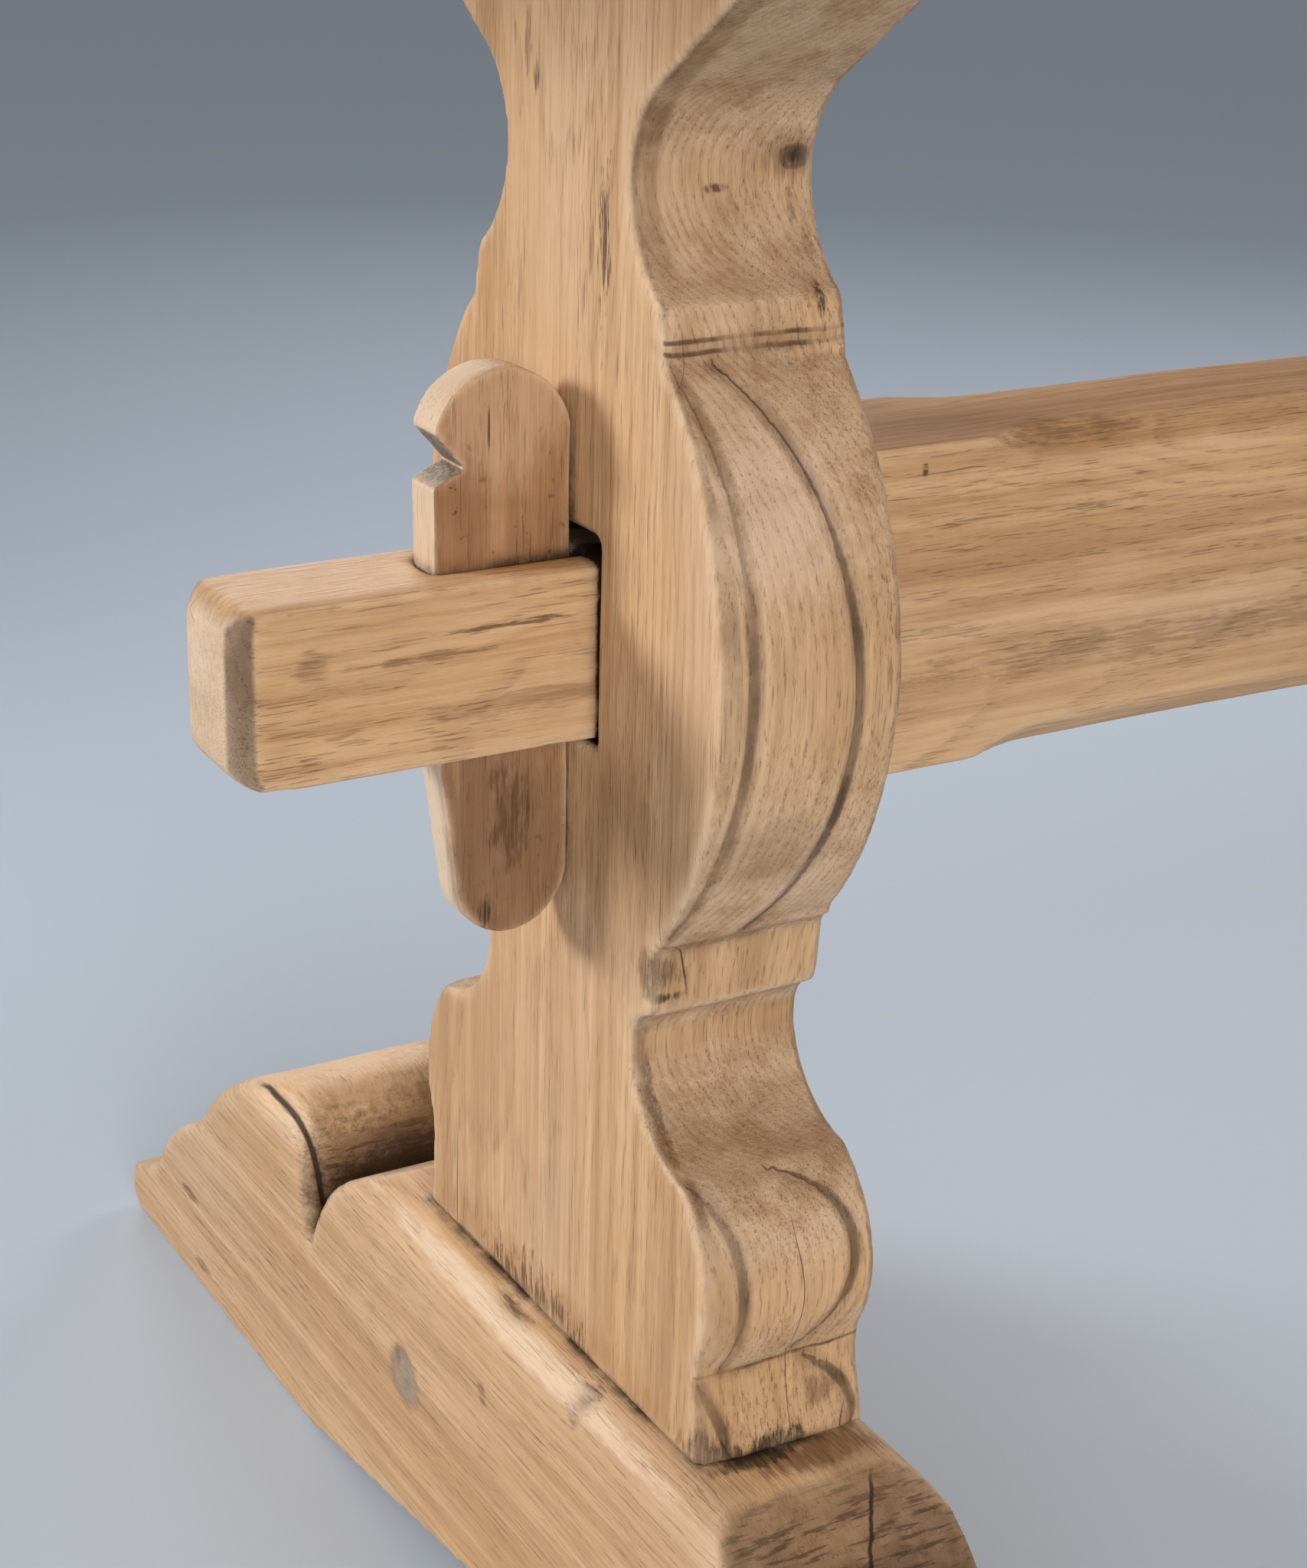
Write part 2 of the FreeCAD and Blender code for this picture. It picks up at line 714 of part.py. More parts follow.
def add_rods(label, places, diameter, length, along_table=False):
    """A group of equal round pegs, each a solid of its own, from its start point up or along the table."""
    rods = []
    for x, y, z in places:
        rod = doc.addObject("Part::Cylinder", label + "_rod")
        if along_table:
            rod.Placement = FreeCAD.Placement(FreeCAD.Vector(), FreeCAD.Rotation(FreeCAD.Vector(0, 1, 0), 90))
        rod.setExpression("Radius", (diameter / 2).formula)
        rod.setExpression("Height", length.formula)
        rod.setExpression("Placement.Base.x", x.formula)
        rod.setExpression("Placement.Base.y", y.formula)
        rod.setExpression("Placement.Base.z", z.formula)
        rods.append(rod)
    group = doc.addObject("Part::Compound", label)
    group.Label = label
    group.Links = rods
    parts.append(group)


def build_pegs(side_name, side):
    """Pegs across the post's tenons, driven from the inner face and stopped short of the outer one."""
    inner_face = (trestle_spacing / 2 - size.post_thickness - size.foot_inner_reveal) * side
    peg_length = foot_thickness - size.peg_cover
    start = inner_face - peg_length if side < 0 else inner_face
    for joint, height in (("foot", foot_peg_height), ("head", head_peg_height)):
        places = [(start, across, up) for across, up in peg_places(height)]
        add_rods(f"{side_name}_{joint}_pegs", places, size.peg_diameter, peg_length, along_table=True)

    line = (trestle_spacing / 2 - post_middle) * side
    dowel_start = top_underside - size.dowel_hold_length
    dowel_length = size.dowel_hold_length + size.dowel_reach_length
    places = [(line, dowel_place(board), dowel_start) for board in DOWELLED_BOARDS]
    add_rods(f"{side_name}_top_dowels", places, size.dowel_diameter, dowel_length)

    places = [(top_peg_line * side, dowel_place(board), top_underside) for board in range(BOARD_COUNT)]
    add_rods(f"{side_name}_breadboard_pegs", places, size.top_peg_diameter, size.top_thickness)


def build_loose_tongue(joint):
    """Loose tongue in the grooves between two boards."""
    tongue = doc.addObject("Part::Box", f"loose_tongue_{joint}")
    tongue.Label = f"loose_tongue_{joint}"
    middle = top_underside + size.top_thickness / 2
    tongue.setExpression("Length", board_length.formula)
    tongue.setExpression("Width", size.loose_tongue_width.formula)
    tongue.setExpression("Height", size.loose_tongue_thickness.formula)
    tongue.setExpression("Placement.Base.x", (-board_length / 2).formula)
    tongue.setExpression("Placement.Base.y", (board_side(joint) - size.loose_tongue_width / 2).formula)
    tongue.setExpression("Placement.Base.z", (middle - size.loose_tongue_thickness / 2).formula)
    parts.append(tongue)


def check_document():
    """Stop if any object failed or any piece is not a sound solid."""
    doc.recompute()
    for item in doc.Objects:
        if "Invalid" in item.State or "Error" in item.State:
            raise RuntimeError(f"{item.Label} failed: {item.State}")
    for part in parts:
        if part.Shape.isNull() or not part.Shape.isValid():
            raise RuntimeError(f"{part.Label} has no sound shape")


for name, side in SIDES:
    build_foot(name, side)
    build_post(name, side)
    build_head(name, side)
    build_wedge(name, side)
    build_breadboard(name, side)
    build_pegs(name, side)
build_stretcher()
for board in range(BOARD_COUNT):
    build_board(board)
for joint in range(1, BOARD_COUNT):
    build_loose_tongue(joint)
check_document()

os.makedirs("parts", exist_ok=True)
for part in parts:
    part.Shape.exportStep(f"parts/{part.Label}.step")
    print(part.Label, len(part.Shape.Solids), round(part.Shape.Volume))
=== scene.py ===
# %% [markdown]
# # An oak trestle table
# A long dining table stands on two trestles. Each trestle is a shaped post between a sledge foot and a head
# bearer, and one stretcher, held by a wedge at each end, ties the two together. The CAD frame already has
# every piece at its right size, so this lesson is about surfaces: worn arrises, carved lines and bleached,
# waxed oak. The frame is loaded first and never moved.

# %% Load the frame
import math
import bpy
import numpy as np
from mathutils import Euler, Matrix, Vector
from mathutils.bvhtree import BVHTree
from mathutils.kdtree import KDTree


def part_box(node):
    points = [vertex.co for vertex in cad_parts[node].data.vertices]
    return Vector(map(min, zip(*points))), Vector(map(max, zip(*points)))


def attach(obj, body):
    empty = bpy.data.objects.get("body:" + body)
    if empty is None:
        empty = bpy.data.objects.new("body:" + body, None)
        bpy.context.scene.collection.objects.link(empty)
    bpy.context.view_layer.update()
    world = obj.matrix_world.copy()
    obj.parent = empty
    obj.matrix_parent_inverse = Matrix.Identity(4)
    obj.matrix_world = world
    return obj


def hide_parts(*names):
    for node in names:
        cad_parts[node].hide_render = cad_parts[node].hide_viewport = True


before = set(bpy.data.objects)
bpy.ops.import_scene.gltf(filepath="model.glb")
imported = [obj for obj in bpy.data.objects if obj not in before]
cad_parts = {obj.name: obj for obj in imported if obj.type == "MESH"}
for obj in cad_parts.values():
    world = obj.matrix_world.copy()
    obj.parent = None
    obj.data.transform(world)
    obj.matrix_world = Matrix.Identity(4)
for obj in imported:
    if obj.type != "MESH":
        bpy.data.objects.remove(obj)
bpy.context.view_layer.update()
scene = bpy.context.scene

# %% [markdown]
# The photograph looks at the left trestle from near by, a little from above, with a slight tilt. A camera
# needs a place, a direction and a focal length. The direction is written as a heading, a dip and a roll,
# because those are the words a photographer would use, and the three axes of the camera follow from them.

# %% Camera
PHOTO_HEIGHT_PIXELS = 2048
FOCAL_LENGTH_PIXELS = 3680
SENSOR_MILLIMETRES = 36
CAMERA_PLACE = Vector((-1.1370, -0.7776, 0.6995))
CAMERA_HEADING = math.radians(30.30)
CAMERA_DIP = math.radians(21.07)
CAMERA_ROLL = math.radians(1.42)

bpy.ops.object.select_all(action="DESELECT")
bpy.ops.object.camera_add(location=CAMERA_PLACE)
camera = bpy.context.object
camera.name = "photo_camera"
camera.data.sensor_width = SENSOR_MILLIMETRES
camera.data.lens = SENSOR_MILLIMETRES * FOCAL_LENGTH_PIXELS / PHOTO_HEIGHT_PIXELS
forward = Vector((
    math.sin(CAMERA_HEADING) * math.cos(CAMERA_DIP),
    math.cos(CAMERA_HEADING) * math.cos(CAMERA_DIP),
    -math.sin(CAMERA_DIP),
))
level_right = forward.cross(Vector((0, 0, 1))).normalized()
level_up = level_right.cross(forward)
right = level_right * math.cos(CAMERA_ROLL) + level_up * math.sin(CAMERA_ROLL)
up = level_up * math.cos(CAMERA_ROLL) - level_right * math.sin(CAMERA_ROLL)
turn = Matrix((right, up, -forward)).transposed()
camera.matrix_world = Matrix.Translation(CAMERA_PLACE) @ turn.to_4x4()
scene.camera = camera
print("Lens:", round(camera.data.lens, 2), "mm")

# %% [markdown]
# The table stands in a plain studio: a pale floor that runs out of sight, an even sky of soft light, and
# large lamps. A large lamp gives the soft shadows of a photographer's softbox. The strongest one is low on
# the left, so that its light gets in under the table top, and the others keep every other side readable.

# %% Studio
FLOOR_SIZE = 400.0
FLOOR_COLOUR = (0.56, 0.635, 0.73, 1.0)
SKY_COLOUR = (0.97, 0.985, 1.0, 1.0)
SKY_STRENGTH = 0.29
LAMPS = {
    "key_lamp": {
        "place": (-3.8, 2.1, 1.55), "aim": (-0.72, 0.0, 0.42), "size": 1.1, "watts": 6.7, "beam": 42,
    },
    "front_lamp": {
        "place": (-1.6, -2.8, 1.15), "aim": (-0.5, 0.0, 0.45), "size": 1.6, "watts": 25, "beam": 120,
    },
    "far_lamp": {
        "place": (3.2, 1.4, 1.7), "aim": (0.5, 0.0, 0.55), "size": 2.0, "watts": 9, "beam": 70,
    },
    "back_lamp": {
        "place": (0.6, 3.6, 1.7), "aim": (0.0, 0.0, 0.55), "size": 2.0, "watts": 8, "beam": 60,
    },
    "top_lamp": {
        "place": (0.0, -0.6, 3.4), "aim": (0.0, 0.0, 0.77), "size": 2.2, "watts": 9, "beam": 90,
    },
}

bpy.ops.mesh.primitive_plane_add(size=FLOOR_SIZE)
floor = bpy.context.object
floor.name = "studio_floor"
floor_paint = bpy.data.materials.new("floor_paint")
floor_paint.use_nodes = True
floor_shader = floor_paint.node_tree.nodes["Principled BSDF"]
floor_shader.inputs["Base Color"].default_value = FLOOR_COLOUR
floor_shader.inputs["Roughness"].default_value = 0.85
floor_shader.inputs["Specular IOR Level"].default_value = 0.2
floor.data.materials.append(floor_paint)

sky = bpy.data.worlds.new("studio_sky")
sky.use_nodes = True
sky.node_tree.nodes["Background"].inputs["Color"].default_value = SKY_COLOUR
sky.node_tree.nodes["Background"].inputs["Strength"].default_value = SKY_STRENGTH
scene.world = sky
for lamp_name, lamp in LAMPS.items():
    bpy.ops.object.light_add(type="AREA", location=lamp["place"])
    light = bpy.context.object
    light.name = lamp_name
    light.data.shape = "DISK"
    light.data.size = lamp["size"]
    light.data.energy = lamp["watts"]
    light.data.spread = math.radians(lamp["beam"])
    aim = Vector(lamp["aim"]) - Vector(lamp["place"])
    light.rotation_euler = aim.to_track_quat("-Z", "Y").to_euler()
scene.view_settings.view_transform = "Standard"
print("Lamps:", ", ".join(LAMPS))

# %% [markdown]
# Every piece starts as a copy of its CAD solid. The CAD mesh is loose triangles, so the copy is merged
# first. A saw-sharp edge looks like plastic, and old oak is rubbed round by hands and dusters. Two ways
# give that. A plain board gets a bevel along its arrises. A shaped piece is covered with an even skin of
# small faces, which a smoothing modifier then rubs down, as sandpaper would. The even skin has a second
# use: carving and wear can be laid on it.

# %% Copy, bevel and rub down
MERGE_DISTANCE = 1e-5
SHARP_EDGE = math.radians(35)
SMOOTH_EDGE = math.radians(40)
SANDPAPER_BITE = 0.5


def merged_copy(name, node):
    """A new object with a merged copy of one CAD node's mesh."""
    bpy.ops.object.select_all(action="DESELECT")
    piece = bpy.data.objects.new(name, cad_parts[node].data.copy())
    piece.data.name = name
    piece.data.materials.clear()
    scene.collection.objects.link(piece)
    piece.select_set(True)
    bpy.context.view_layer.objects.active = piece
    bpy.ops.mesh.customdata_custom_splitnormals_clear()
    bpy.ops.object.mode_set(mode="EDIT")
    bpy.ops.mesh.select_all(action="SELECT")
    bpy.ops.mesh.remove_doubles(threshold=MERGE_DISTANCE)
    bpy.ops.object.mode_set(mode="OBJECT")
    return piece


def apply_modifiers(piece):
    """Make a piece's modifiers part of its mesh, in their order."""
    bpy.context.view_layer.objects.active = piece
    for modifier in list(piece.modifiers):
        bpy.ops.object.modifier_apply(modifier=modifier.name)


def ease_arrises(piece, width, segments=2):
    """Round the sharp edges of a plain piece."""
    bevel = piece.modifiers.new("eased_arrises", "BEVEL")
    bevel.width = width
    bevel.segments = segments
    bevel.limit_method = "ANGLE"
    bevel.angle_limit = SHARP_EDGE
    bevel.use_clamp_overlap = True
    apply_modifiers(piece)
    bpy.ops.object.shade_smooth_by_angle(angle=SMOOTH_EDGE)


def rub_down(piece, grain_size, passes):
    """Cover a shaped piece with an even skin and smooth it."""
    skin = piece.modifiers.new("even_skin", "REMESH")
    skin.mode = "VOXEL"
    skin.voxel_size = grain_size
    sandpaper = piece.modifiers.new("sandpaper", "SMOOTH")
    sandpaper.factor = SANDPAPER_BITE
    sandpaper.iterations = passes
    apply_modifiers(piece)
    bpy.ops.object.shade_smooth()


def soften(piece, passes, chosen):
    """Rub down further only where a test of a vertex's place says so."""
    worn = piece.vertex_groups.new(name="worn_round")
    worn.add([vertex.index for vertex in piece.data.vertices if chosen(vertex.co)], 1.0, "REPLACE")
    sandpaper = piece.modifiers.new("more_sandpaper", "SMOOTH")
    sandpaper.factor = SANDPAPER_BITE
    sandpaper.iterations = passes
    sandpaper.vertex_group = worn.name
    apply_modifiers(piece)
    piece.vertex_groups.clear()


print("Arrises are eased with a bevel or rubbed down on an even skin")


# %% [markdown]
# Hand-planed oak is never quite flat. A displacement with a cloudy texture moves the skin in and out by a
# fraction of a millimetre, enough to make the highlights wander. Wear and grime follow the shape: arrises
# stand proud and get rubbed pale, hollows and joints collect wax and dirt. A hole that light does not
# reach, such as a mortise, is given painted shade along with the grime. These are worked out from the mesh
# and kept as attributes, so that the finishes can read them later.

# %% Hand-worked surface, wear and grime
# Strength of the painted shade given to a hole, such as a mortise.
HOLE_SHADE = 4.0


def plane_by_hand(piece, depth, wavelength):
    """Leave the gentle waves of a hand plane on the skin."""
    clouds = bpy.data.textures.new(piece.name + "_waves", "CLOUDS")
    clouds.noise_scale = wavelength
    waves = piece.modifiers.new("hand_plane", "DISPLACE")
    waves.texture = clouds
    waves.texture_coords = "LOCAL"
    waves.strength = depth
    waves.mid_level = 0.5
    apply_modifiers(piece)


def places(mesh):
    """The places of a mesh's vertices, one row each."""
    flat = np.empty(len(mesh.vertices) * 3, np.float32)
    mesh.vertices.foreach_get("co", flat)
    return flat.reshape(-1, 3).astype(float)


def normals(mesh):
    """The directions in which a mesh's vertices face, one row each."""
    flat = np.empty(len(mesh.vertices) * 3, np.float32)
    mesh.vertex_normals.foreach_get("vector", flat)
    return flat.reshape(-1, 3).astype(float)


def neighbour_mean(mesh, values):
    """For each vertex, the mean of a value over the vertices joined to it."""
    pairs = np.empty(len(mesh.edges) * 2, np.int32)
    mesh.edges.foreach_get("vertices", pairs)
    pairs = pairs.reshape(-1, 2)
    ends = np.concatenate((pairs[:, 0], pairs[:, 1]))
    others = np.concatenate((pairs[:, 1], pairs[:, 0]))
    count = np.maximum(np.bincount(ends, minlength=len(values)), 1)
    return np.bincount(ends, weights=values[others], minlength=len(values)) / count


def spread(mesh, values, passes):
    """Let a value on the skin run into its neighbourhood."""
    for _ in range(passes):
        values = (values + neighbour_mean(mesh, values)) / 2
    return values


def keep(mesh, name, values):
    """Store a value on the skin for the finishes to read."""
    attribute = mesh.attributes.new(name, "FLOAT", "POINT")
    attribute.data.foreach_set("value", values.astype(np.float32))


def nearness(mesh, nodes, reach):
    """How close each vertex is to other pieces: 1 where it touches, 0 from the reach outwards."""
    found = np.zeros(len(mesh.vertices))
    for node in nodes:
        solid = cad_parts[node].data
        tree = BVHTree.FromPolygons(
            [vertex.co for vertex in solid.vertices],
            [polygon.vertices for polygon in solid.polygons],
        )
        low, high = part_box(node)
        for index, place in enumerate(places(mesh)):
            if np.any(place < np.array(low) - reach) or np.any(place > np.array(high) + reach):
                continue
            distance = tree.find_nearest(Vector(place), reach)[3]
            if distance is not None:
                found[index] = max(found[index], 1 - distance / reach)
    return found


def weather(piece, touching=(), reach=0.005, wear_gain=9.0, grime_gain=9.0, dark=None):
    """Work out where a piece is rubbed pale and where it gets dirty. A test of places may name a hole, which
    is given painted shade.
    """
    mesh = piece.data
    here = places(mesh)
    around = np.stack([neighbour_mean(mesh, here[:, axis]) for axis in range(3)], axis=1)
    spacing = math.sqrt(sum(polygon.area for polygon in mesh.polygons) / len(mesh.polygons))
    hollow = np.sum((around - here) * normals(mesh), axis=1) / spacing
    hollow = spread(mesh, hollow, 2)
    wear = spread(mesh, np.clip(-hollow * wear_gain, 0, 1), 1)
    grime_and_shade = spread(mesh, np.clip(hollow * grime_gain, 0, 1), 2)
    keep(mesh, "wear", wear)
    grime_and_shade = np.maximum(grime_and_shade, nearness(mesh, touching, reach) ** 2)
    if dark:
        # Painted shade: the hole that the test names is darkened along with the grime.
        grime_and_shade = np.maximum(grime_and_shade, spread(mesh, dark(here) * HOLE_SHADE, 1))
    keep(mesh, "grime_and_shade", grime_and_shade)


print("Wear and grime are kept on each skin as attributes")


# %% [markdown]
# The posts carry the carver's facets: shallow planes that run off towards the arrises, each with a dark
# line where it meets the rounded edge. On the CAD solid such a line is a slight crease that climbs the
# post. Creases are found by their angle and direction, and the skin close to them is pressed in a little,
# like the trace of a V-tool.

# %% Carved lines
CREASE_MOST = math.radians(30.0)
CREASE_CLIMB = 0.25
CREASE_STEP = 0.001
LINE_REACH = 0.008
LINE_DEPTH = 0.0009


def crease_points(piece, least, band):
    """Points along the creases that climb a CAD copy, sharper than an angle and within a band across it."""
    mesh = piece.data
    faces_by_edge = {}
    for polygon in mesh.polygons:
        for key in polygon.edge_keys:
            faces_by_edge.setdefault(key, []).append(polygon.normal.copy())
    points = []
    for (first, last), faces in faces_by_edge.items():
        if len(faces) != 2:
            continue
        bend = faces[0].angle(faces[1], 0.0)
        start = mesh.vertices[first].co
        run = mesh.vertices[last].co - start
        if not least < bend < CREASE_MOST or abs(run.z) < CREASE_CLIMB * run.length:
            continue
        steps = max(1, round(run.length / CREASE_STEP))
        points += [start + run * (step / steps) for step in range(steps + 1)]
    return [point for point in points if band[0] < abs(point.x) < band[1]]


def line_distance(mesh, points):
    """Each vertex's distance to a carved line, as a share of the line's reach, below 0 on its -X side."""
    tree = KDTree(len(points))
    for index, point in enumerate(points):
        tree.insert(point, index)
    tree.balance()
    shares = np.ones(len(mesh.vertices))
    for index, vertex in enumerate(mesh.vertices):
        nearest, _, distance = tree.find(vertex.co)
        side = 1 if vertex.co.x > nearest.x else -1
        shares[index] = side * min(1.0, distance / LINE_REACH)
    return shares


def press_in(mesh, mask, depth):
    """Push the skin inwards under a mask."""
    moved = places(mesh) - normals(mesh) * (mask * depth)[:, None]
    mesh.vertices.foreach_set("co", moved.astype(np.float32).ravel())
    mesh.update()


def plane_true(mesh, axis, low=-math.inf, high=math.inf):
    """Plane a bearing face true, so that no wave of the skin stands past a limit along one axis."""
    here = places(mesh)
    here[:, axis] = np.clip(here[:, axis], low, high)
    mesh.vertices.foreach_set("co", here.astype(np.float32).ravel())
    mesh.update()


def dent(mesh, centre, reach, depth):
    """Press a hollow into the skin, deepest at its centre."""
    offset = (places(mesh) - np.array(centre)) / np.array(reach)
    press_in(mesh, np.clip(1 - np.linalg.norm(offset, axis=1), 0, 1), depth)


print("Carved lines are", LINE_DEPTH * 1000, "mm deep")


# %% [markdown]
# ## The shader bench
# Oak is drawn as a solid block of wood, not as a sheet wrapped round the piece: rings round a pith that
# lies outside the plank, fibres drawn out along the grain, and pores. Each cut face then shows the right
# figure by itself, long flames on a face and rings on an end. A small helper places shader nodes and joins
# them.

# %% Shader bench
class Bench:
    """Places shader nodes in a tree and joins them."""

    def __init__(self, tree):
        self.tree = tree

    def add(self, kind, inputs=None, **settings):
        node = self.tree.nodes.new(kind)
        for name, value in settings.items():
            setattr(node, name, value)
        for key, value in (inputs or {}).items():
            self.feed(node.inputs[key], value)
        return node

    def feed(self, socket, value):
        if isinstance(value, bpy.types.NodeSocket):
            self.tree.links.new(value, socket)
        else:
            socket.default_value = value

    def maths(self, operation, first, second=0.0, clamp=False):
        node = self.add("ShaderNodeMath", {0: first, 1: second}, operation=operation, use_clamp=clamp)
        return node.outputs[0]

    def times(self, first, *others):
        for other in others:
            first = self.maths("MULTIPLY", first, other)
        return first

    def plus(self, first, *others):
        for other in others:
            first = self.maths("ADD", first, other)
        return first

    def minus(self, first, second):
        return self.maths("SUBTRACT", first, second)

    def unsigned(self, value):
        return self.maths("ABSOLUTE", value)

    def apart(self, first, second):
        """How far two values are from each other."""
        return self.unsigned(self.minus(first, second))

    def axes(self, vector):
        """The three parts of a place or a direction."""
        return self.add("ShaderNodeSeparateXYZ", {0: vector}).outputs

    def read(self, name):
        """A value that was kept on the skin."""
        return self.add("ShaderNodeAttribute", attribute_name=name).outputs["Fac"]

    def vectors(self, operation, first, second=(0.0, 0.0, 0.0)):
        node = self.add("ShaderNodeVectorMath", {0: first, 1: second}, operation=operation)
        return node.outputs["Value"] if operation in ("LENGTH", "DOT_PRODUCT") else node.outputs["Vector"]

    def step(self, value, low, high, start=0.0, end=1.0):
        """A smooth step from start to end as the value goes from low to high."""
        inputs = {0: value, 1: low, 2: high, 3: start, 4: end}
        return self.add("ShaderNodeMapRange", inputs, interpolation_type="SMOOTHSTEP").outputs[0]

    def mix(self, share, first, second, blend="MIX"):
        node = self.add("ShaderNodeMix", {0: share, 6: first, 7: second}, data_type="RGBA", blend_type=blend)
        return node.outputs[2]

    def clouds(self, vector, scale, detail=2.0, roughness=0.5):
        inputs = {"Vector": vector, "Scale": scale, "Detail": detail, "Roughness": roughness}
        return self.add("ShaderNodeTexNoise", inputs)

    def noise(self, *cloud):
        """A cloudy value between 0 and 1."""
        return self.clouds(*cloud).outputs[0]

    def wander(self, vector, scale, detail, most):
        """A cloudy shift to all sides, up to half of the most along each axis."""
        shift = self.vectors("SUBTRACT", self.clouds(vector, scale, detail).outputs[1], (0.5, 0.5, 0.5))
        return self.vectors("MULTIPLY", shift, most)

    def stretched(self, vector, along):
        """The same place, squeezed along the grain so that a pattern on it is drawn out."""
        return self.vectors("MULTIPLY", vector, (1.0, 1.0, along))


def new_group(name, inputs, outputs):
    """An empty node group with named sockets, and its bench."""
    tree = bpy.data.node_groups.new(name, "ShaderNodeTree")
    for socket, kind in inputs:
        tree.interface.new_socket(name=socket, in_out="INPUT", socket_type=kind)
    for socket, kind in outputs:
        tree.interface.new_socket(name=socket, in_out="OUTPUT", socket_type=kind)
    bench = Bench(tree)
    return tree, bench, bench.add("NodeGroupInput").outputs, bench.add("NodeGroupOutput").inputs


# %% [markdown]
# The oak group takes a place in the block, with the grain along its third axis and the pith on that axis. A
# slow noise bends the trunk, the distance from the pith gives the growth rings, and each ring has a dark,
# porous start and a dense, pale rest. Fibres, streaks, pores and drying checks are noises drawn out along
# the grain. A row of the table below says how far one is squeezed along the grain, and gives its scale, its
# detail and its roughness.

# %% Oak group
FLOAT = "NodeSocketFloat"
COLOUR = "NodeSocketColor"
PLACE = "NodeSocketVector"
PORE_COLOUR = (0.165, 0.082, 0.038, 1.0)
CHECK_COLOUR = (0.030, 0.018, 0.011, 1.0)
GLOW_TINT = (1.02, 0.90, 0.70, 1.0)
BLEACHED_PATCH = (0.690, 0.500, 0.345, 1.0)
TRUNK_BEND = (0.060, 0.060, 0.0)
FIBRE_BEND = (0.005, 0.005, 0.0)
GLOW_SHIFT = (3.0, 1.0, 2.0)
DRAWN_OUT = {
    "fibre": (0.030, 640.0, 4.0, 0.66),
    "streak": (0.022, 150.0, 4.0, 0.62),
    "thread": (0.016, 430.0, 3.0, 0.60),
    "drift": (0.35, 7.0, 4.0, 0.60),
    "band": (0.035, 52.0, 3.0, 0.60),
    "mottle": (0.45, 46.0, 4.0, 0.62),
    "vessels": (0.040, 1600.0, 2.0, 0.55),
    "crowding": (0.20, 30.0, 2.0, 0.50),
    "split": (0.045, 30.0, 2.0, 0.50),
    "drying": (0.6, 13.0, 1.0, 0.50),
}
TONE_SHARES = {"streak": 0.26, "thread": 0.14, "drift": 0.22, "mottle": 0.12, "band": 0.26}

oak_group, bench, given, result = new_group(
    "oak_block",
    [("Grain", PLACE), ("Ring Width", FLOAT), ("Figure", FLOAT), ("Open Pores", FLOAT),
     ("Pale", COLOUR), ("Tan", COLOUR), ("Brown", COLOUR)],
    [("Color", COLOUR), ("Height", FLOAT), ("Pores", FLOAT)],
)
grain = given["Grain"]
slow = bench.wander(bench.stretched(grain, 0.30), 6.0, 2.0, TRUNK_BEND)
quick = bench.wander(bench.stretched(grain, 0.10), 60.0, 3.0, FIBRE_BEND)
bent = bench.vectors("ADD", grain, bench.vectors("ADD", slow, quick))
radius = bench.vectors("LENGTH", bench.vectors("MULTIPLY", bent, (1.0, 1.0, 0.0)))
years = bench.maths("DIVIDE", radius, given["Ring Width"])
years = bench.plus(years, bench.times(bench.noise(grain, 11.0, 2.0), 3.0))
season = bench.maths("FRACT", years)
spring = bench.times(bench.step(season, 0.0, 0.12), bench.step(season, 0.14, 0.60, 1.0, 0.0))
drawn = {}
for name, (squeeze, *cloud) in DRAWN_OUT.items():
    drawn[name] = bench.noise(bench.stretched(grain, squeeze), *cloud)
glow = bench.noise(bench.vectors("ADD", bench.stretched(grain, 0.30), GLOW_SHIFT), 9.0, 3.0, 0.60)
crowd = bench.plus(bench.times(spring, 0.50), bench.step(drawn["crowding"], 0.42, 0.70, 0.05, 0.50))
pores = bench.maths("MULTIPLY", bench.step(drawn["vessels"], 0.575, 0.690), crowd, clamp=True)
check = bench.step(bench.apart(drawn["split"], 0.5), 0.0, 0.0034, 1.0, 0.0)
check = bench.times(check, bench.step(drawn["drying"], 0.60, 0.68))
tone = bench.plus(*(bench.times(drawn[name], share) for name, share in TONE_SHARES.items()))
colour = bench.mix(bench.step(tone, 0.43, 0.565), given["Tan"], given["Pale"])
warm = bench.mix(1.0, colour, GLOW_TINT, "MULTIPLY")
colour = bench.mix(bench.step(glow, 0.42, 0.66, 0.0, 0.45), colour, warm)
colour = bench.mix(bench.step(glow, 0.32, 0.48, 0.30, 0.0), colour, BLEACHED_PATCH)
brown_shares = (
    bench.step(drawn["streak"], 0.28, 0.44, 0.26, 0.0),
    bench.step(drawn["band"], 0.28, 0.43, 0.36, 0.0),
    bench.times(spring, given["Figure"]),
    bench.step(drawn["fibre"], 0.34, 0.54, 0.24, 0.0),
)
for share in brown_shares:
    colour = bench.mix(share, colour, given["Brown"])
colour = bench.mix(bench.times(pores, given["Open Pores"]), colour, PORE_COLOUR)
colour = bench.mix(bench.times(check, 0.80), colour, CHECK_COLOUR)
height = bench.plus(bench.times(drawn["fibre"], 0.6), bench.times(pores, -0.7), bench.times(check, -1.2))
bench.feed(result["Color"], colour)
bench.feed(result["Height"], height)
bench.feed(result["Pores"], pores)
print("Oak group:", len(oak_group.nodes), "nodes")

# %% [markdown]
# Single marks, such as a knot, a stain or a plugged hole, sit at one place on one piece. The mark group
# gives a ragged blot round a centre, broken up into strands of the grain. A knot is the same with rings in
# it.

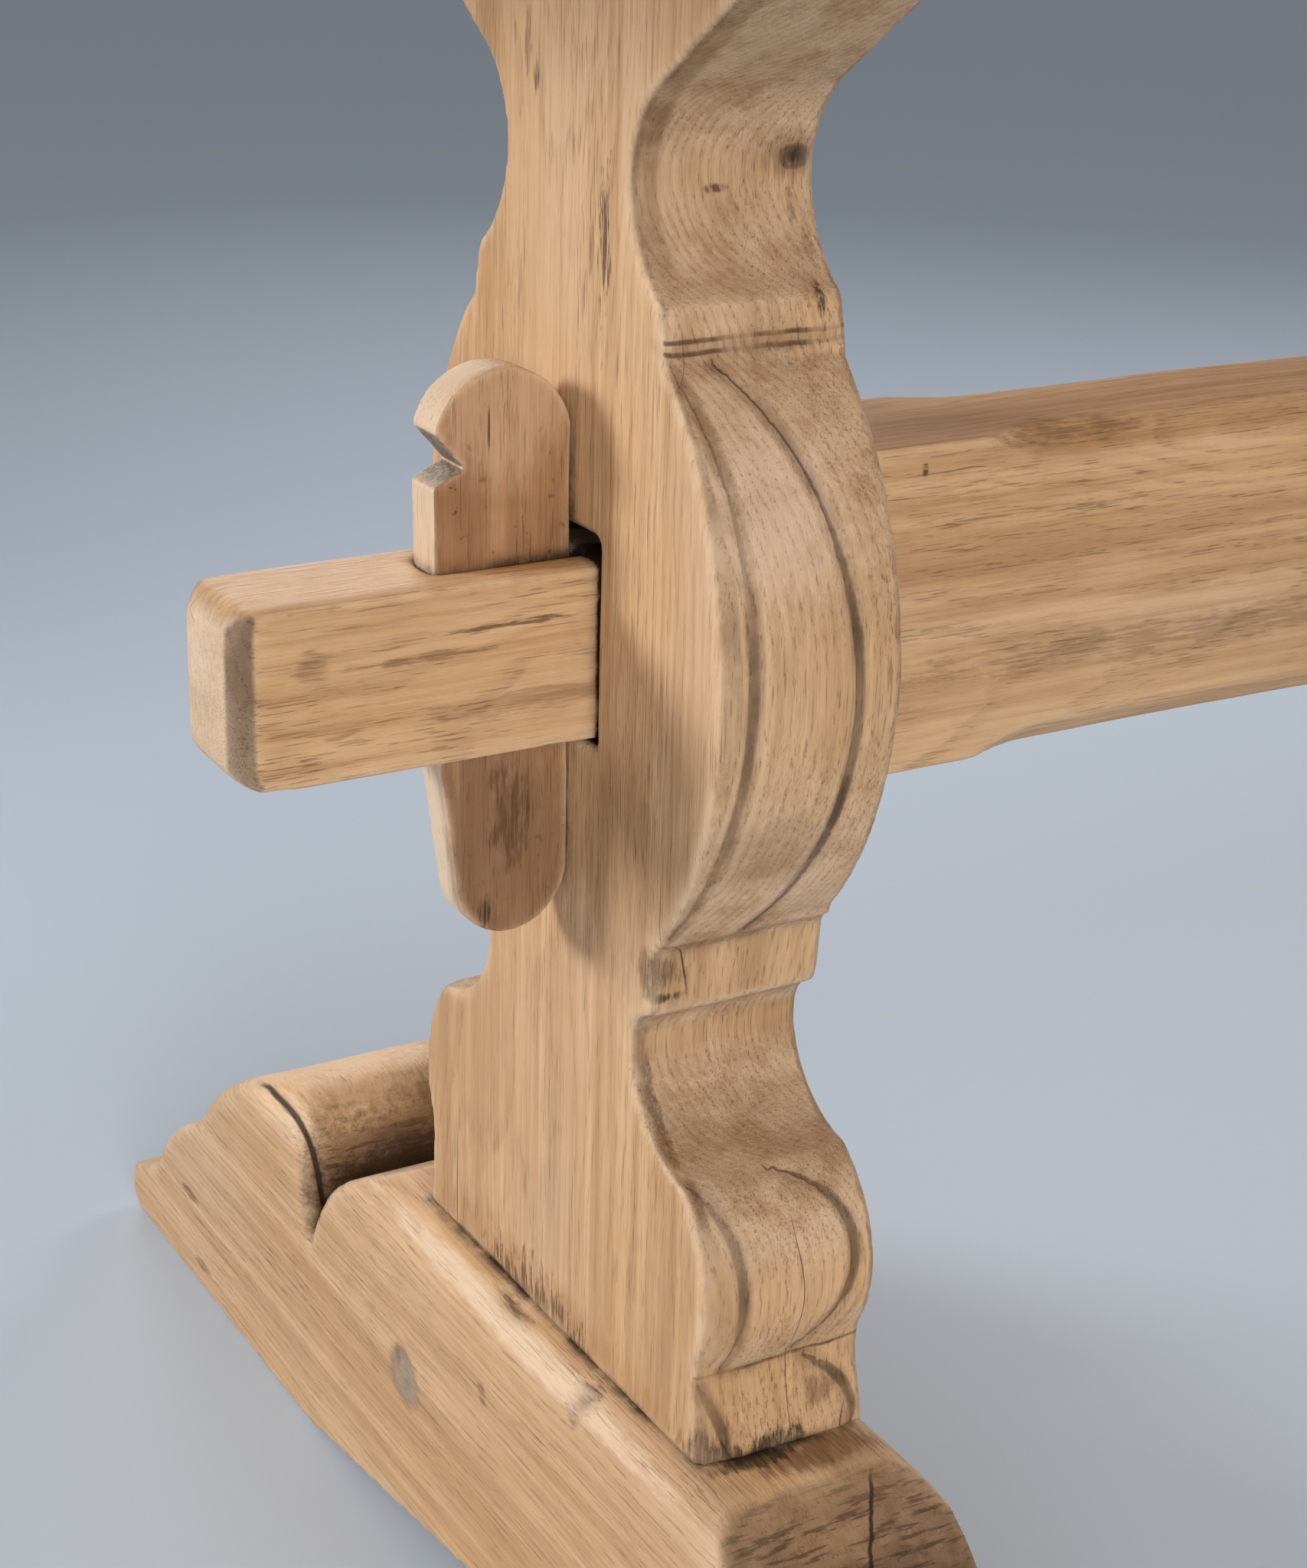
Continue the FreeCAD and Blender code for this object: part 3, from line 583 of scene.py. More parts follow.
# %% Marks
mark_group, bench, given, result = new_group(
    "wood_mark",
    [("Place", PLACE), ("Centre", PLACE), ("Reach", PLACE), ("Grain", PLACE),
     ("Ragged", FLOAT), ("Solid", FLOAT)],
    [("Mask", FLOAT), ("Distance", FLOAT)],
)
offset = bench.vectors("DIVIDE", bench.vectors("SUBTRACT", given["Place"], given["Centre"]), given["Reach"])
rough = bench.noise(bench.stretched(given["Grain"], 0.22), 330.0, 4.0, 0.65)
rough = bench.times(bench.minus(rough, 0.5), given["Ragged"])
distance = bench.plus(bench.vectors("LENGTH", offset), rough)
strands = bench.noise(bench.stretched(given["Grain"], 0.07), 900.0, 3.0, 0.6)
strands = bench.minus(strands, bench.times(distance, 0.10))
broken = bench.step(strands, 0.36, 0.50, given["Solid"], 1.0)
bench.feed(result["Mask"], bench.times(bench.step(distance, 0.50, 1.0, 1.0, 0.0), broken))
bench.feed(result["Distance"], distance)
print("Mark group:", len(mark_group.nodes), "nodes")


def blot(name, centre, reach, colour, share, ragged=1.0, solid=0.30, knot=False, ends_only=False):
    """One mark: its place, its half sizes, its colour and how much of it covers the wood."""
    return {
        "name": name, "centre": centre, "reach": reach, "colour": colour, "share": share,
        "ragged": ragged, "solid": solid, "knot": knot, "ends_only": ends_only,
    }


def marked(bench, colour, place, grain, facing, marks):
    """Lay knots, stains and plugs over the wood, each at its own place."""
    for mark in marks:
        node = bench.add("ShaderNodeGroup", node_tree=mark_group, label=mark["name"])
        bench.feed(node.inputs["Place"], place)
        bench.feed(node.inputs["Grain"], grain)
        for socket in ("Centre", "Reach", "Ragged", "Solid"):
            bench.feed(node.inputs[socket], mark[socket.lower()])
        share = bench.times(node.outputs["Mask"], mark["share"])
        if mark["ends_only"]:
            share = bench.times(share, bench.step(facing, 0.30, 0.55))
        if mark["knot"]:
            rings = bench.maths("SINE", bench.times(node.outputs["Distance"], 15.0))
            share = bench.times(share, bench.step(rings, -0.9, 0.7, 0.40, 1.0))
        colour = bench.mix(share, colour, mark["colour"])
    return colour


# %% [markdown]
# The tones of the wood. Bleached oak is the table itself, honey is the darker wood of the wedges, and the
# pegs are browner still. Dirt and old wax are near black, and so is the painted shade in mortises; rubbed
# wood is nearly cream.

# %% Tones
BLEACHED = {
    "pale": (0.700, 0.448, 0.248, 1.0),
    "tan": (0.565, 0.337, 0.167, 1.0),
    "brown": (0.340, 0.178, 0.079, 1.0),
}
HONEY = {
    "pale": (0.500, 0.290, 0.150, 1.0),
    "tan": (0.370, 0.195, 0.092, 1.0),
    "brown": (0.220, 0.105, 0.048, 1.0),
}
PEG_TONES = {
    "pale": (0.420, 0.260, 0.140, 1.0),
    "tan": (0.330, 0.190, 0.095, 1.0),
    "brown": (0.200, 0.105, 0.050, 1.0),
}
WORN_COLOUR = (0.760, 0.545, 0.355, 1.0)
# Near black for dirt and old wax, and for the painted shade in mortises.
GRIME_AND_SHADE_COLOUR = (0.040, 0.022, 0.012, 1.0)
DARK_END = (0.185, 0.108, 0.060, 1.0)
PALE_END = (0.790, 0.610, 0.450, 1.0)
STAIN = (0.026, 0.015, 0.009, 1.0)
KNOT = (0.095, 0.046, 0.021, 1.0)
# Faded stains, and also the painted shade beside the carved lines and scores.
FADED_STAIN_AND_SHADE = (0.190, 0.100, 0.048, 1.0)
DUSTY_PALE = (0.735, 0.540, 0.372, 1.0)
DUSTY_BROWN = (0.400, 0.240, 0.130, 1.0)
# Painted shade for the posts: on the facets of their edges and along the border beside the outer face.
FACET_SHADE_BROWN = (0.305, 0.183, 0.100, 1.0)
ARRIS_SHADE_BROWN = (0.240, 0.132, 0.062, 1.0)
LINE_BROWN = (0.050, 0.026, 0.013, 1.0)
SCORE_BROWN = (0.080, 0.042, 0.020, 1.0)
# Pale painted light for the narrow sides of the wedges.
LIT_SIDE_PALE = (0.790, 0.605, 0.425, 1.0)
# Dark rim of a tenon's bevel, made darker on its two sides as painted shade.
RIM_BROWN_AND_SHADE = (0.150, 0.096, 0.058, 1.0)


def tinted(tones, shade):
    """The same tones, a little lighter or darker."""
    return {name: tuple(part * shade for part in colour[:3]) + (1.0,) for name, colour in tones.items()}


# %% [markdown]
# Where a cut crosses the grain the fibres stand open. A slanting cut is dusty and blotched, with fine
# scratches from the sandpaper, and a square cut shows rows of open pores, dark with old wax. The bevelled
# rim of a tenon, darkest on its sides with painted shade, the speckles on a wedge and the painted light
# on its narrow sides are laid over the same wood in the same way.

# %% Cuts and handled places
SCRATCH_TURN = (0.0, math.radians(52), 0.0)
ROW_SQUEEZE = (0.14, 1.0, 1.0)


def sawn_across(bench, colour, place, slant):
    """Dusty, blotched wood with fine sanding scratches, where a cut crosses the grain at a slant."""
    blotch = bench.noise(place, 52.0, 4.0, 0.66)
    dusty = bench.mix(bench.step(blotch, 0.36, 0.60), DUSTY_BROWN, DUSTY_PALE)
    colour = bench.mix(bench.times(slant, 0.55), colour, dusty)
    turned = bench.add("ShaderNodeMapping", {"Vector": place}, vector_type="POINT")
    turned.inputs["Rotation"].default_value = SCRATCH_TURN
    scratch = bench.noise(bench.stretched(turned.outputs[0], 0.05), 620.0, 2.0)
    scratch = bench.times(bench.step(scratch, 0.53, 0.66, 0.0, 0.32), slant)
    return bench.mix(scratch, colour, DUSTY_PALE)


def cut_ends(bench, colour, place, share, end_colour, open_rows):
    """End grain: open fibres in rows across the piece, dark with old wax."""
    rows = bench.noise(bench.vectors("MULTIPLY", place, ROW_SQUEEZE), 430.0, 3.0, 0.6)
    blotch = bench.noise(place, 60.0, 3.0, 0.6)
    shade = bench.mix(bench.step(blotch, 0.36, 0.64, 0.45, 0.15), end_colour, colour)
    shade = bench.mix(bench.step(rows, 0.40, 0.50, open_rows, 0.0), shade, GRIME_AND_SHADE_COLOUR)
    return bench.mix(share, colour, shade)


def tenon_rim(bench, colour, facing, sideways, rim):
    """The dark bevel round the end of a tenon, with painted shade that makes it darkest on its two sides."""
    bevel = bench.times(bench.step(facing, 0.22, 0.45), bench.step(facing, 0.86, 0.97, 1.0, 0.0))
    bevel = bench.times(bevel, bench.step(sideways, 0.15, 0.45, 0.15, 1.0))
    return bench.mix(bench.times(bevel, rim), colour, RIM_BROWN_AND_SHADE)


def speckled(bench, colour, place, brown, speckle):
    """Crowds of dark specks in brownish patches."""
    specks = bench.noise(place, 240.0, 3.0, 0.6)
    crowd = bench.step(bench.noise(place, 34.0, 3.0, 0.6), 0.40, 0.66)
    dots = bench.times(bench.step(specks, 0.60, 0.70, 0.0, speckle), crowd)
    colour = bench.mix(bench.times(crowd, speckle * 0.40), colour, brown)
    return bench.mix(dots, colour, STAIN)


# %% [markdown]
# Lines in the wood. The carver's lines on the posts follow the creases kept on the skin, and fade and swell
# as hand work does. A groove runs round the inner end of each hump, a crack runs off each pad, and fine
# lines are scored across the posts. Each function gives a mask, and the finish darkens the wood and cuts
# the surface under it.

# %% Lines
POST_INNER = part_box("right_post")[0].x
POST_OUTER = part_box("right_post")[1].x
FOOT_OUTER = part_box("right_foot")[1].x
TENON_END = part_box("stretcher")[1].x
LINE_STRONGEST = ((0.405, 0.095), (0.222, 0.034), (0.165, 0.018))
LINE_FINEST = 0.0003
LINE_BROADEST = 0.0020
LINE_SHARES = {"outer_line": 0.60, "inner_line": 1.0}
ARRIS_INNER_FADE = (0.0080, 0.0115)
ARRIS_OUTER_FADE = (0.0, 0.0020)
ARRIS_LINE_INSET = 0.0042
ARRIS_LINE_HALF_WIDTH = (0.0006, 0.0028)
COVE_FROM = (0.530, 0.550)
NECK_FROM = (0.226, 0.244)
NECK_UNTIL = (0.286, 0.298)
GROOVE_LEAN = 0.12
GROOVE_START = 0.7155
GROOVE_HALF_WIDTH = (0.0005, 0.0015)
GROOVE_FROM = (0.176, 0.182)
GROOVE_UNTIL = (0.236, 0.250)
GROOVE_LEVEL = (0.100, 0.108)
CRACK_WANDER = 0.0030
CRACK_HALF_WIDTH = (0.0003, 0.0011)
CRACK_LEVEL = (0.040, 0.110)
CRACK_FROM = (-0.046, -0.034)
CRACK_UNTIL = (-0.006, 0.004)
SCORE_WANDER = 0.003
SCORE_HALF_WIDTH = (0.0001, 0.0010)


def carved_lines(bench, place):
    """Masks of the thin carved lines on a post and of the shade beside them."""
    level = bench.axes(place)[2]
    uneven = bench.noise(place, 60.0, 4.0, 0.65)
    fading = bench.step(bench.noise(place, 16.0, 2.0), 0.36, 0.60, 0.45, 1.0)
    strength = 0.0
    for middle, reach in LINE_STRONGEST:
        near_middle = bench.step(bench.apart(level, middle), reach * 0.15, reach, 1.0, 0.0)
        strength = bench.maths("MAXIMUM", strength, near_middle)
    broad = bench.times(bench.step(uneven, 0.34, 0.64, 0.60, 1.0), bench.plus(strength, 0.12))
    half_width = bench.step(broad, 0.0, 0.9, LINE_FINEST / LINE_REACH, LINE_BROADEST / LINE_REACH)
    near = bench.read("line_near")
    shade = bench.times(bench.step(near, 0.30, 1.0, 0.0, 0.60), bench.step(uneven, 0.35, 0.65, 0.15, 1.0))
    shade = bench.times(shade, fading)
    strongest = bench.maths("MAXIMUM", bench.times(fading, strength), 0.55)
    masks = []
    for name, share in LINE_SHARES.items():
        away = bench.maths("DIVIDE", bench.unsigned(bench.read(name)), half_width)
        line = bench.times(bench.step(away, 0.4, 1.5, share, 0.0), bench.step(near, 0.70, 0.80))
        masks.append(bench.times(line, strongest))
    return bench.maths("MAXIMUM", *masks), shade


def painted_arris_shade(bench, place, sideways, patchy):
    """Mask of painted shade on the border of a post's edge beside its outer face, in the cove, and of a
    thin dark line at the neck.
    """
    x, _, z = bench.axes(place)
    inset = bench.minus(POST_OUTER, bench.unsigned(x))
    broad = bench.step(inset, *ARRIS_INNER_FADE, 1.0, 0.0)
    broad = bench.times(broad, bench.step(inset, *ARRIS_OUTER_FADE, 0.15, 1.0))
    broad = bench.times(broad, bench.step(z, *COVE_FROM, 0.0, 0.90))
    thin = bench.step(bench.apart(inset, ARRIS_LINE_INSET), *ARRIS_LINE_HALF_WIDTH, 0.95, 0.0)
    neck = bench.times(bench.step(z, *NECK_FROM), bench.step(z, *NECK_UNTIL, 1.0, 0.0))
    mask = bench.maths("MAXIMUM", broad, bench.times(thin, neck))
    mask = bench.times(mask, bench.step(bench.unsigned(sideways), 0.10, 0.40))
    return bench.times(mask, bench.step(patchy, 0.34, 0.60, 1.0, 0.45))


def hump_groove(bench, place):
    """Mask of the dark groove round the end of a foot's hump, a little in from the outer face."""
    x, y, z = bench.axes(place)
    along = bench.unsigned(y)
    line = bench.plus(bench.times(z, GROOVE_LEAN), GROOVE_START)
    mask = bench.step(bench.apart(bench.unsigned(x), line), *GROOVE_HALF_WIDTH, 0.95, 0.0)
    ends = bench.times(bench.step(along, *GROOVE_FROM), bench.step(along, *GROOVE_UNTIL, 1.0, 0.0))
    return bench.times(mask, ends, bench.step(z, *GROOVE_LEVEL))


def drying_crack(bench, place, crack):
    """Mask of a crack that runs off a foot's pad and down its slope."""
    x, y, z = bench.axes(place)
    wander = bench.times(bench.minus(bench.noise(place, 150.0, 3.0, 0.6), 0.5), CRACK_WANDER)
    run = bench.minus(y, crack["start"][1])
    line = bench.plus(bench.times(run, crack["lean"]), crack["start"][0], wander)
    mask = bench.step(bench.apart(x, line), *CRACK_HALF_WIDTH, 0.95, 0.0)
    ends = bench.times(bench.step(run, *CRACK_FROM), bench.step(run, *CRACK_UNTIL, 1.0, 0.0))
    return bench.times(mask, ends, bench.step(z, *CRACK_LEVEL))


def scored_line(bench, place, sideways, height):
    """Mask of a thin line scored by hand across the edge of a post at one height."""
    level = bench.axes(place)[2]
    wander = bench.times(bench.minus(bench.noise(place, 45.0, 2.0), 0.5), SCORE_WANDER)
    uneven = bench.step(bench.noise(place, 50.0, 3.0, 0.6), 0.34, 0.60, 0.90, 0.20)
    line = bench.step(bench.apart(bench.plus(level, wander), height), *SCORE_HALF_WIDTH, 0.95, 0.0)
    return bench.times(line, bench.step(bench.unsigned(sideways), 0.45, 0.75), uneven)


# %% [markdown]
# A finish joins it all for one piece: where its pith lies and which way its grain runs, its own tones, the
# colour of its end grain, its marks, and then wear, grime and painted shade, and lines from the skin. Every
# plank gets its own finish, because no two planks come from the same place in a tree.

# %% Oak finish
ALONG = {
    "X": (0.0, math.radians(-90), 0.0),
    "Y": (math.radians(90), 0.0, 0.0),
    "Z": (0.0, 0.0, 0.0),
}
DIRECTION = {"X": (1.0, 0.0, 0.0), "Y": (0.0, 1.0, 0.0), "Z": (0.0, 0.0, 1.0)}
WAXED_ROUGHNESS = 0.52
OPEN_PORE_ROUGHNESS = 0.80
WAX_SPECULAR = 0.22
RELIEF_STRENGTH = 0.75
RELIEF_DEPTH = 0.0012


def rubbed_dirty_and_shaded(bench, colour, patchy):
    """Pale, rubbed arrises, and dirty hollows with painted shade in holes, both patchy, as worked out on
    the skin.
    """
    rubbed = bench.times(bench.read("wear"), bench.step(patchy, 0.36, 0.62, 0.05, 0.65))
    colour = bench.mix(rubbed, colour, WORN_COLOUR)
    # Dirt in hollows, and the painted shade kept in holes such as mortises.
    dirt_and_shade = bench.times(bench.read("grime_and_shade"), bench.step(patchy, 0.36, 0.62, 1.0, 0.25))
    return bench.mix(dirt_and_shade, colour, GRIME_AND_SHADE_COLOUR)


def painted_facet_shade(bench, colour, place, normal_parts, patchy):
    """Painted shade, browner than the rest, on a post's edge facets and the border beside its outer face."""
    outwards = bench.unsigned(normal_parts[0])
    facet = bench.times(bench.step(outwards, 0.10, 0.24), bench.step(outwards, 0.45, 0.80, 0.72, 0.0))
    facet = bench.times(facet, bench.step(patchy, 0.34, 0.62, 1.0, 0.35))
    colour = bench.mix(facet, colour, FACET_SHADE_BROWN)
    return bench.mix(painted_arris_shade(bench, place, normal_parts[1], patchy), colour, ARRIS_SHADE_BROWN)


def oak_finish(name, along, pith, tones, end_colour=DARK_END, end_share=0.55, end_from=0.45,
               end_within=9.0, open_rows=0.55, figure=0.22, open_pores=0.50, ring_width=0.0034, dust=0.0,
               speckle=0.0, rim=0.0, pale_lit_sides=0.0, marks=(), scores=(), lines=False, groove=False,
               crack=None, worn=True):
    """A material of solid oak. The pith is a point on the trunk's axis, in the table's frame."""
    finish = bpy.data.materials.new(name)
    finish.use_nodes = True
    bench = Bench(finish.node_tree)
    shader = finish.node_tree.nodes["Principled BSDF"]
    coordinates = bench.add("ShaderNodeTexCoord")
    place = coordinates.outputs["Object"]
    normal = coordinates.outputs["Normal"]
    mapping = bench.add("ShaderNodeMapping", {"Vector": place}, vector_type="POINT")
    mapping.inputs["Rotation"].default_value = ALONG[along]
    mapping.inputs["Location"].default_value = -(Euler(ALONG[along]).to_matrix() @ Vector(pith))
    grain = mapping.outputs[0]
    normal_parts = bench.axes(normal)
    sideways = bench.unsigned(normal_parts[1])
    facing = bench.unsigned(bench.vectors("DOT_PRODUCT", normal, DIRECTION[along]))
    from_middle = bench.unsigned(bench.vectors("DOT_PRODUCT", place, DIRECTION[along]))

    oak = bench.add("ShaderNodeGroup", node_tree=oak_group)
    bench.feed(oak.inputs["Grain"], grain)
    bench.feed(oak.inputs["Ring Width"], ring_width)
    bench.feed(oak.inputs["Figure"], bench.step(facing, 0.10, 0.45, figure, figure + dust * 0.40))
    bench.feed(oak.inputs["Open Pores"], bench.step(facing, 0.08, 0.55, open_pores, open_pores * 0.35))
    for socket in ("Pale", "Tan", "Brown"):
        bench.feed(oak.inputs[socket], tones[socket.lower()])
    colour = oak.outputs["Color"]
    height = oak.outputs["Height"]
    if dust:
        colour = sawn_across(bench, colour, place, bench.step(facing, 0.08, 0.50, 0.0, dust))
    share = bench.step(facing, end_from, end_from + 0.40, 0.0, end_share)
    share = bench.times(share, bench.step(from_middle, end_within, end_within + 0.02, 1.0, 0.25))
    colour = cut_ends(bench, colour, place, share, end_colour, open_rows)
    if rim:
        colour = tenon_rim(bench, colour, facing, sideways, rim)
    if speckle:
        colour = speckled(bench, colour, place, tones["brown"], speckle)
    # Painted light: all sides but the two broad faces are painted pale.
    if pale_lit_sides:
        colour = bench.mix(bench.step(sideways, 0.40, 0.88, pale_lit_sides, 0.0), colour, LIT_SIDE_PALE)
    colour = marked(bench, colour, place, grain, facing, marks)
    if worn:
        patchy = bench.noise(place, 42.0, 5.0, 0.68)
        colour = rubbed_dirty_and_shaded(bench, colour, patchy)
        height = bench.plus(height, bench.times(bench.noise(place, 70.0, 4.0), 0.9))
    cuts = []
    if lines:
        # Painted shade on the facets and the outer border of a post's edges.
        colour = painted_facet_shade(bench, colour, place, normal_parts, patchy)
        line, shade = carved_lines(bench, place)
        # Painted shade beside the carved lines, in the faded stain colour.
        colour = bench.mix(shade, colour, FADED_STAIN_AND_SHADE)
        cuts.append((line, LINE_BROWN))
    if groove:
        cuts.append((hump_groove(bench, place), GRIME_AND_SHADE_COLOUR))
    if crack:
        cuts.append((drying_crack(bench, place, crack), LINE_BROWN))
    for score in scores:
        cuts.append((scored_line(bench, place, normal_parts[1], score), SCORE_BROWN))
    for line, dark in cuts:
        colour = bench.mix(line, colour, dark)
        height = bench.minus(height, line)
    roughness = bench.step(oak.outputs["Pores"], 0.0, 1.0, WAXED_ROUGHNESS, OPEN_PORE_ROUGHNESS)
    bench.feed(shader.inputs["Base Color"], colour)
    bench.feed(shader.inputs["Roughness"], roughness)
    shader.inputs["Specular IOR Level"].default_value = WAX_SPECULAR
    bump = bench.add("ShaderNodeBump", {"Height": height})
    bump.inputs["Strength"].default_value = RELIEF_STRENGTH
    bump.inputs["Distance"].default_value = RELIEF_DEPTH
    bench.feed(shader.inputs["Normal"], bump.outputs[0])
    return finish


def finish_piece(piece, body, slot, finish, *nodes):
    """Give a finished piece its material and its body, and hide the CAD nodes it stands for."""
    piece.data.materials.clear()
    piece.data.materials.append(finish)
    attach(piece, body)
    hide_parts(*nodes)
    triangles = sum(len(polygon.vertices) - 2 for polygon in piece.data.polygons)
    print(piece.name, "rides on", body, "with", triangles, "triangles")


SIDES = ("left", "right")
SIGN = {"left": -1, "right": 1}


def on_side(side, x, y, z):
    """A place on one side of the table, given on its right side."""
    return (SIGN[side] * x, y, z)


print("Sides:", ", ".join(SIDES))

# %% [markdown]
# ## Posts
# Each post is one thick plank, sawn to a baluster outline, with the carver's facets on its edges. The grain
# runs up the post and the pith lies behind the plank, so the broad outer face shows long, plain figure. The
# left post has an edge knot in its cove, and water stains where it stands on the foot. These marks are
# listed first, each with its place, its half sizes, its colour and its share.

# %% Marks on the posts
DARK_KNOT = (0.045, 0.024, 0.014, 1.0)
WARM_STAIN = (0.400, 0.195, 0.078, 1.0)
# Colour of the wedge's shadow, painted on the post.
WEDGE_SHADOW_BROWN = (0.330, 0.178, 0.086, 1.0)
UPPER_BELLY_PALE = (0.800, 0.575, 0.420, 1.0)
POST_MARKS = {
    "left": (
        # The upper belly, painted paler than the wood around it.
        blot("pale upper belly", (-0.697, -0.092, 0.4740), (0.030, 0.03, 0.034),
             UPPER_BELLY_PALE, 0.45, solid=0.8),
        # Painted shade on the down-facing lower belly.
        blot("painted shade under the belly", (-0.692, -0.093, 0.3620), (0.034, 0.03, 0.022),
             FACET_SHADE_BROWN, 0.40, solid=0.8),
        blot("shade along the scores", (-0.690, -0.064, 0.5190), (0.045, 0.02, 0.005),
             FADED_STAIN_AND_SHADE, 0.35, ragged=1.6, solid=0.6),
        blot("dark arris of the neck", (-0.7145, -0.060, 0.2660), (0.0028, 0.02, 0.026),
             STAIN, 0.65, ragged=1.4, solid=0.5),
        blot("knot's halo", (-0.6645, -0.042, 0.5705), (0.0125, 0.02, 0.010),
             FADED_STAIN_AND_SHADE, 0.50, ragged=1.2, solid=0.6),
        blot("edge knot", (-0.6625, -0.042, 0.5695), (0.0085, 0.02, 0.0065),
             KNOT, 0.75, ragged=0.5, solid=0.85, knot=True),
        blot("heart of the knot", (-0.6620, -0.042, 0.5697), (0.0050, 0.02, 0.0036),
             DARK_KNOT, 0.80, ragged=0.4, solid=0.85),
        blot("crack under the knot", (-0.6635, -0.043, 0.5560), (0.0022, 0.02, 0.0095), FADED_STAIN_AND_SHADE, 0.55),
        blot("end of the crack", (-0.6600, -0.048, 0.5430), (0.0030, 0.02, 0.0080), FADED_STAIN_AND_SHADE, 0.45),
        blot("spot in the cove", (-0.690, -0.042, 0.5615), (0.0052, 0.02, 0.0019), KNOT, 0.85),
        blot("stain over the scores", (-0.663, -0.061, 0.5290), (0.0022, 0.02, 0.0070), STAIN, 0.80),
        blot("dark streaks", (-0.722, -0.0265, 0.545), (0.02, 0.0042, 0.026),
             KNOT, 0.85, ragged=4.0, solid=0.0),
        blot("faded streak", (-0.722, -0.0180, 0.540), (0.02, 0.0016, 0.014),
             FADED_STAIN_AND_SHADE, 0.55, ragged=2.2),
        blot("small stain", (-0.722, 0.0189, 0.5885), (0.02, 0.0026, 0.0065), STAIN, 0.85),
        blot("faded stain", (-0.722, 0.0250, 0.5995), (0.02, 0.0030, 0.0110),
             FADED_STAIN_AND_SHADE, 0.60, ragged=3.0),
        blot("nail stain", (-0.722, -0.0535, 0.3545), (0.02, 0.0008, 0.0060), STAIN, 0.75),
        blot("second nail stain", (-0.722, -0.0585, 0.3540), (0.02, 0.0009, 0.0050), STAIN, 0.75),
        # Painted shadow of the wedge on the post's outer face, beside and below the tenon.
        blot("painted shadow beside the wedge", (-0.722, -0.0450, 0.3450), (0.02, 0.0320, 0.0550),
             WEDGE_SHADOW_BROWN, 0.50, ragged=0.8, solid=0.8),
        blot("warm lower face", (-0.722, 0.0600, 0.2500), (0.02, 0.0280, 0.1000),
             WARM_STAIN, 0.35, ragged=1.4, solid=0.6),
        blot("smudge at the neck", (-0.722, -0.0630, 0.3150), (0.02, 0.0080, 0.0110),
             KNOT, 0.75, ragged=1.6, solid=0.7),
        blot("line in the smudge", (-0.722, -0.0670, 0.3060), (0.02, 0.0075, 0.0026),
             STAIN, 0.90, ragged=1.6, solid=0.6),
        blot("warm base", (-0.722, 0.020, 0.1560), (0.02, 0.130, 0.016),
             WARM_STAIN, 0.40, ragged=1.6, solid=0.6),
        blot("water streaks", (-0.722, 0.012, 0.1540), (0.02, 0.040, 0.013),
             KNOT, 0.80, ragged=4.0, solid=0.1),
        blot("wet corner", (-0.7137, -0.104, 0.1520), (0.013, 0.02, 0.010),
             STAIN, 0.90, ragged=2.6, solid=0.6),
        blot("wet edge", (-0.690, -0.104, 0.1510), (0.014, 0.02, 0.009),
             STAIN, 0.90, ragged=2.6, solid=0.6),
        blot("faded edge stain", (-0.672, -0.104, 0.1660), (0.007, 0.02, 0.007),
             FADED_STAIN_AND_SHADE, 0.65, ragged=1.8, solid=0.7),
    ),
    "right": (
        blot("face knot", (0.722, 0.031, 0.330), (0.02, 0.010, 0.012), KNOT, 0.80, knot=True),
        blot("dark streak", (0.722, -0.020, 0.560), (0.02, 0.0035, 0.022), STAIN, 0.75, ragged=3.0),
        blot("wet edge", (0.690, -0.104, 0.1515), (0.020, 0.02, 0.009), STAIN, 0.80, ragged=2.4),
    ),
}
print("Marks on the posts:", {side: len(marks) for side, marks in POST_MARKS.items()})

# %% [markdown]
# The carved lines are found on the sharp CAD copy before it is rubbed down, because rubbing down blurs
# them. The outer face is then planed true again, so that the wedge can slide along it.

# %% Posts
POST_SKIN = 0.0019
POST_FACE = POST_OUTER - 0.0001
POST_PITH = (0.580, 0.018, 0.0)
MORTISE_LEVEL = (0.377, 0.453)
MORTISE_HALF_WIDTH = 0.0275
MORTISE_DARK_WITHIN = POST_OUTER - 0.0020
LINES = {
    "outer_line": {"least": math.radians(8.0), "band": (0.7035, 0.7185)},
    "inner_line": {"least": math.radians(2.5), "band": (0.6580, 0.7035)},
}
SCORE_HEIGHTS = (0.1825, 0.5172, 0.5207)


def in_mortise(here):
    """The inside of the mortise for the stretcher, which is given painted shade."""
    x, y, z = np.abs(here).T
    level = (z > MORTISE_LEVEL[0]) & (z < MORTISE_LEVEL[1])
    return level & (y < MORTISE_HALF_WIDTH) & (x < MORTISE_DARK_WITHIN)


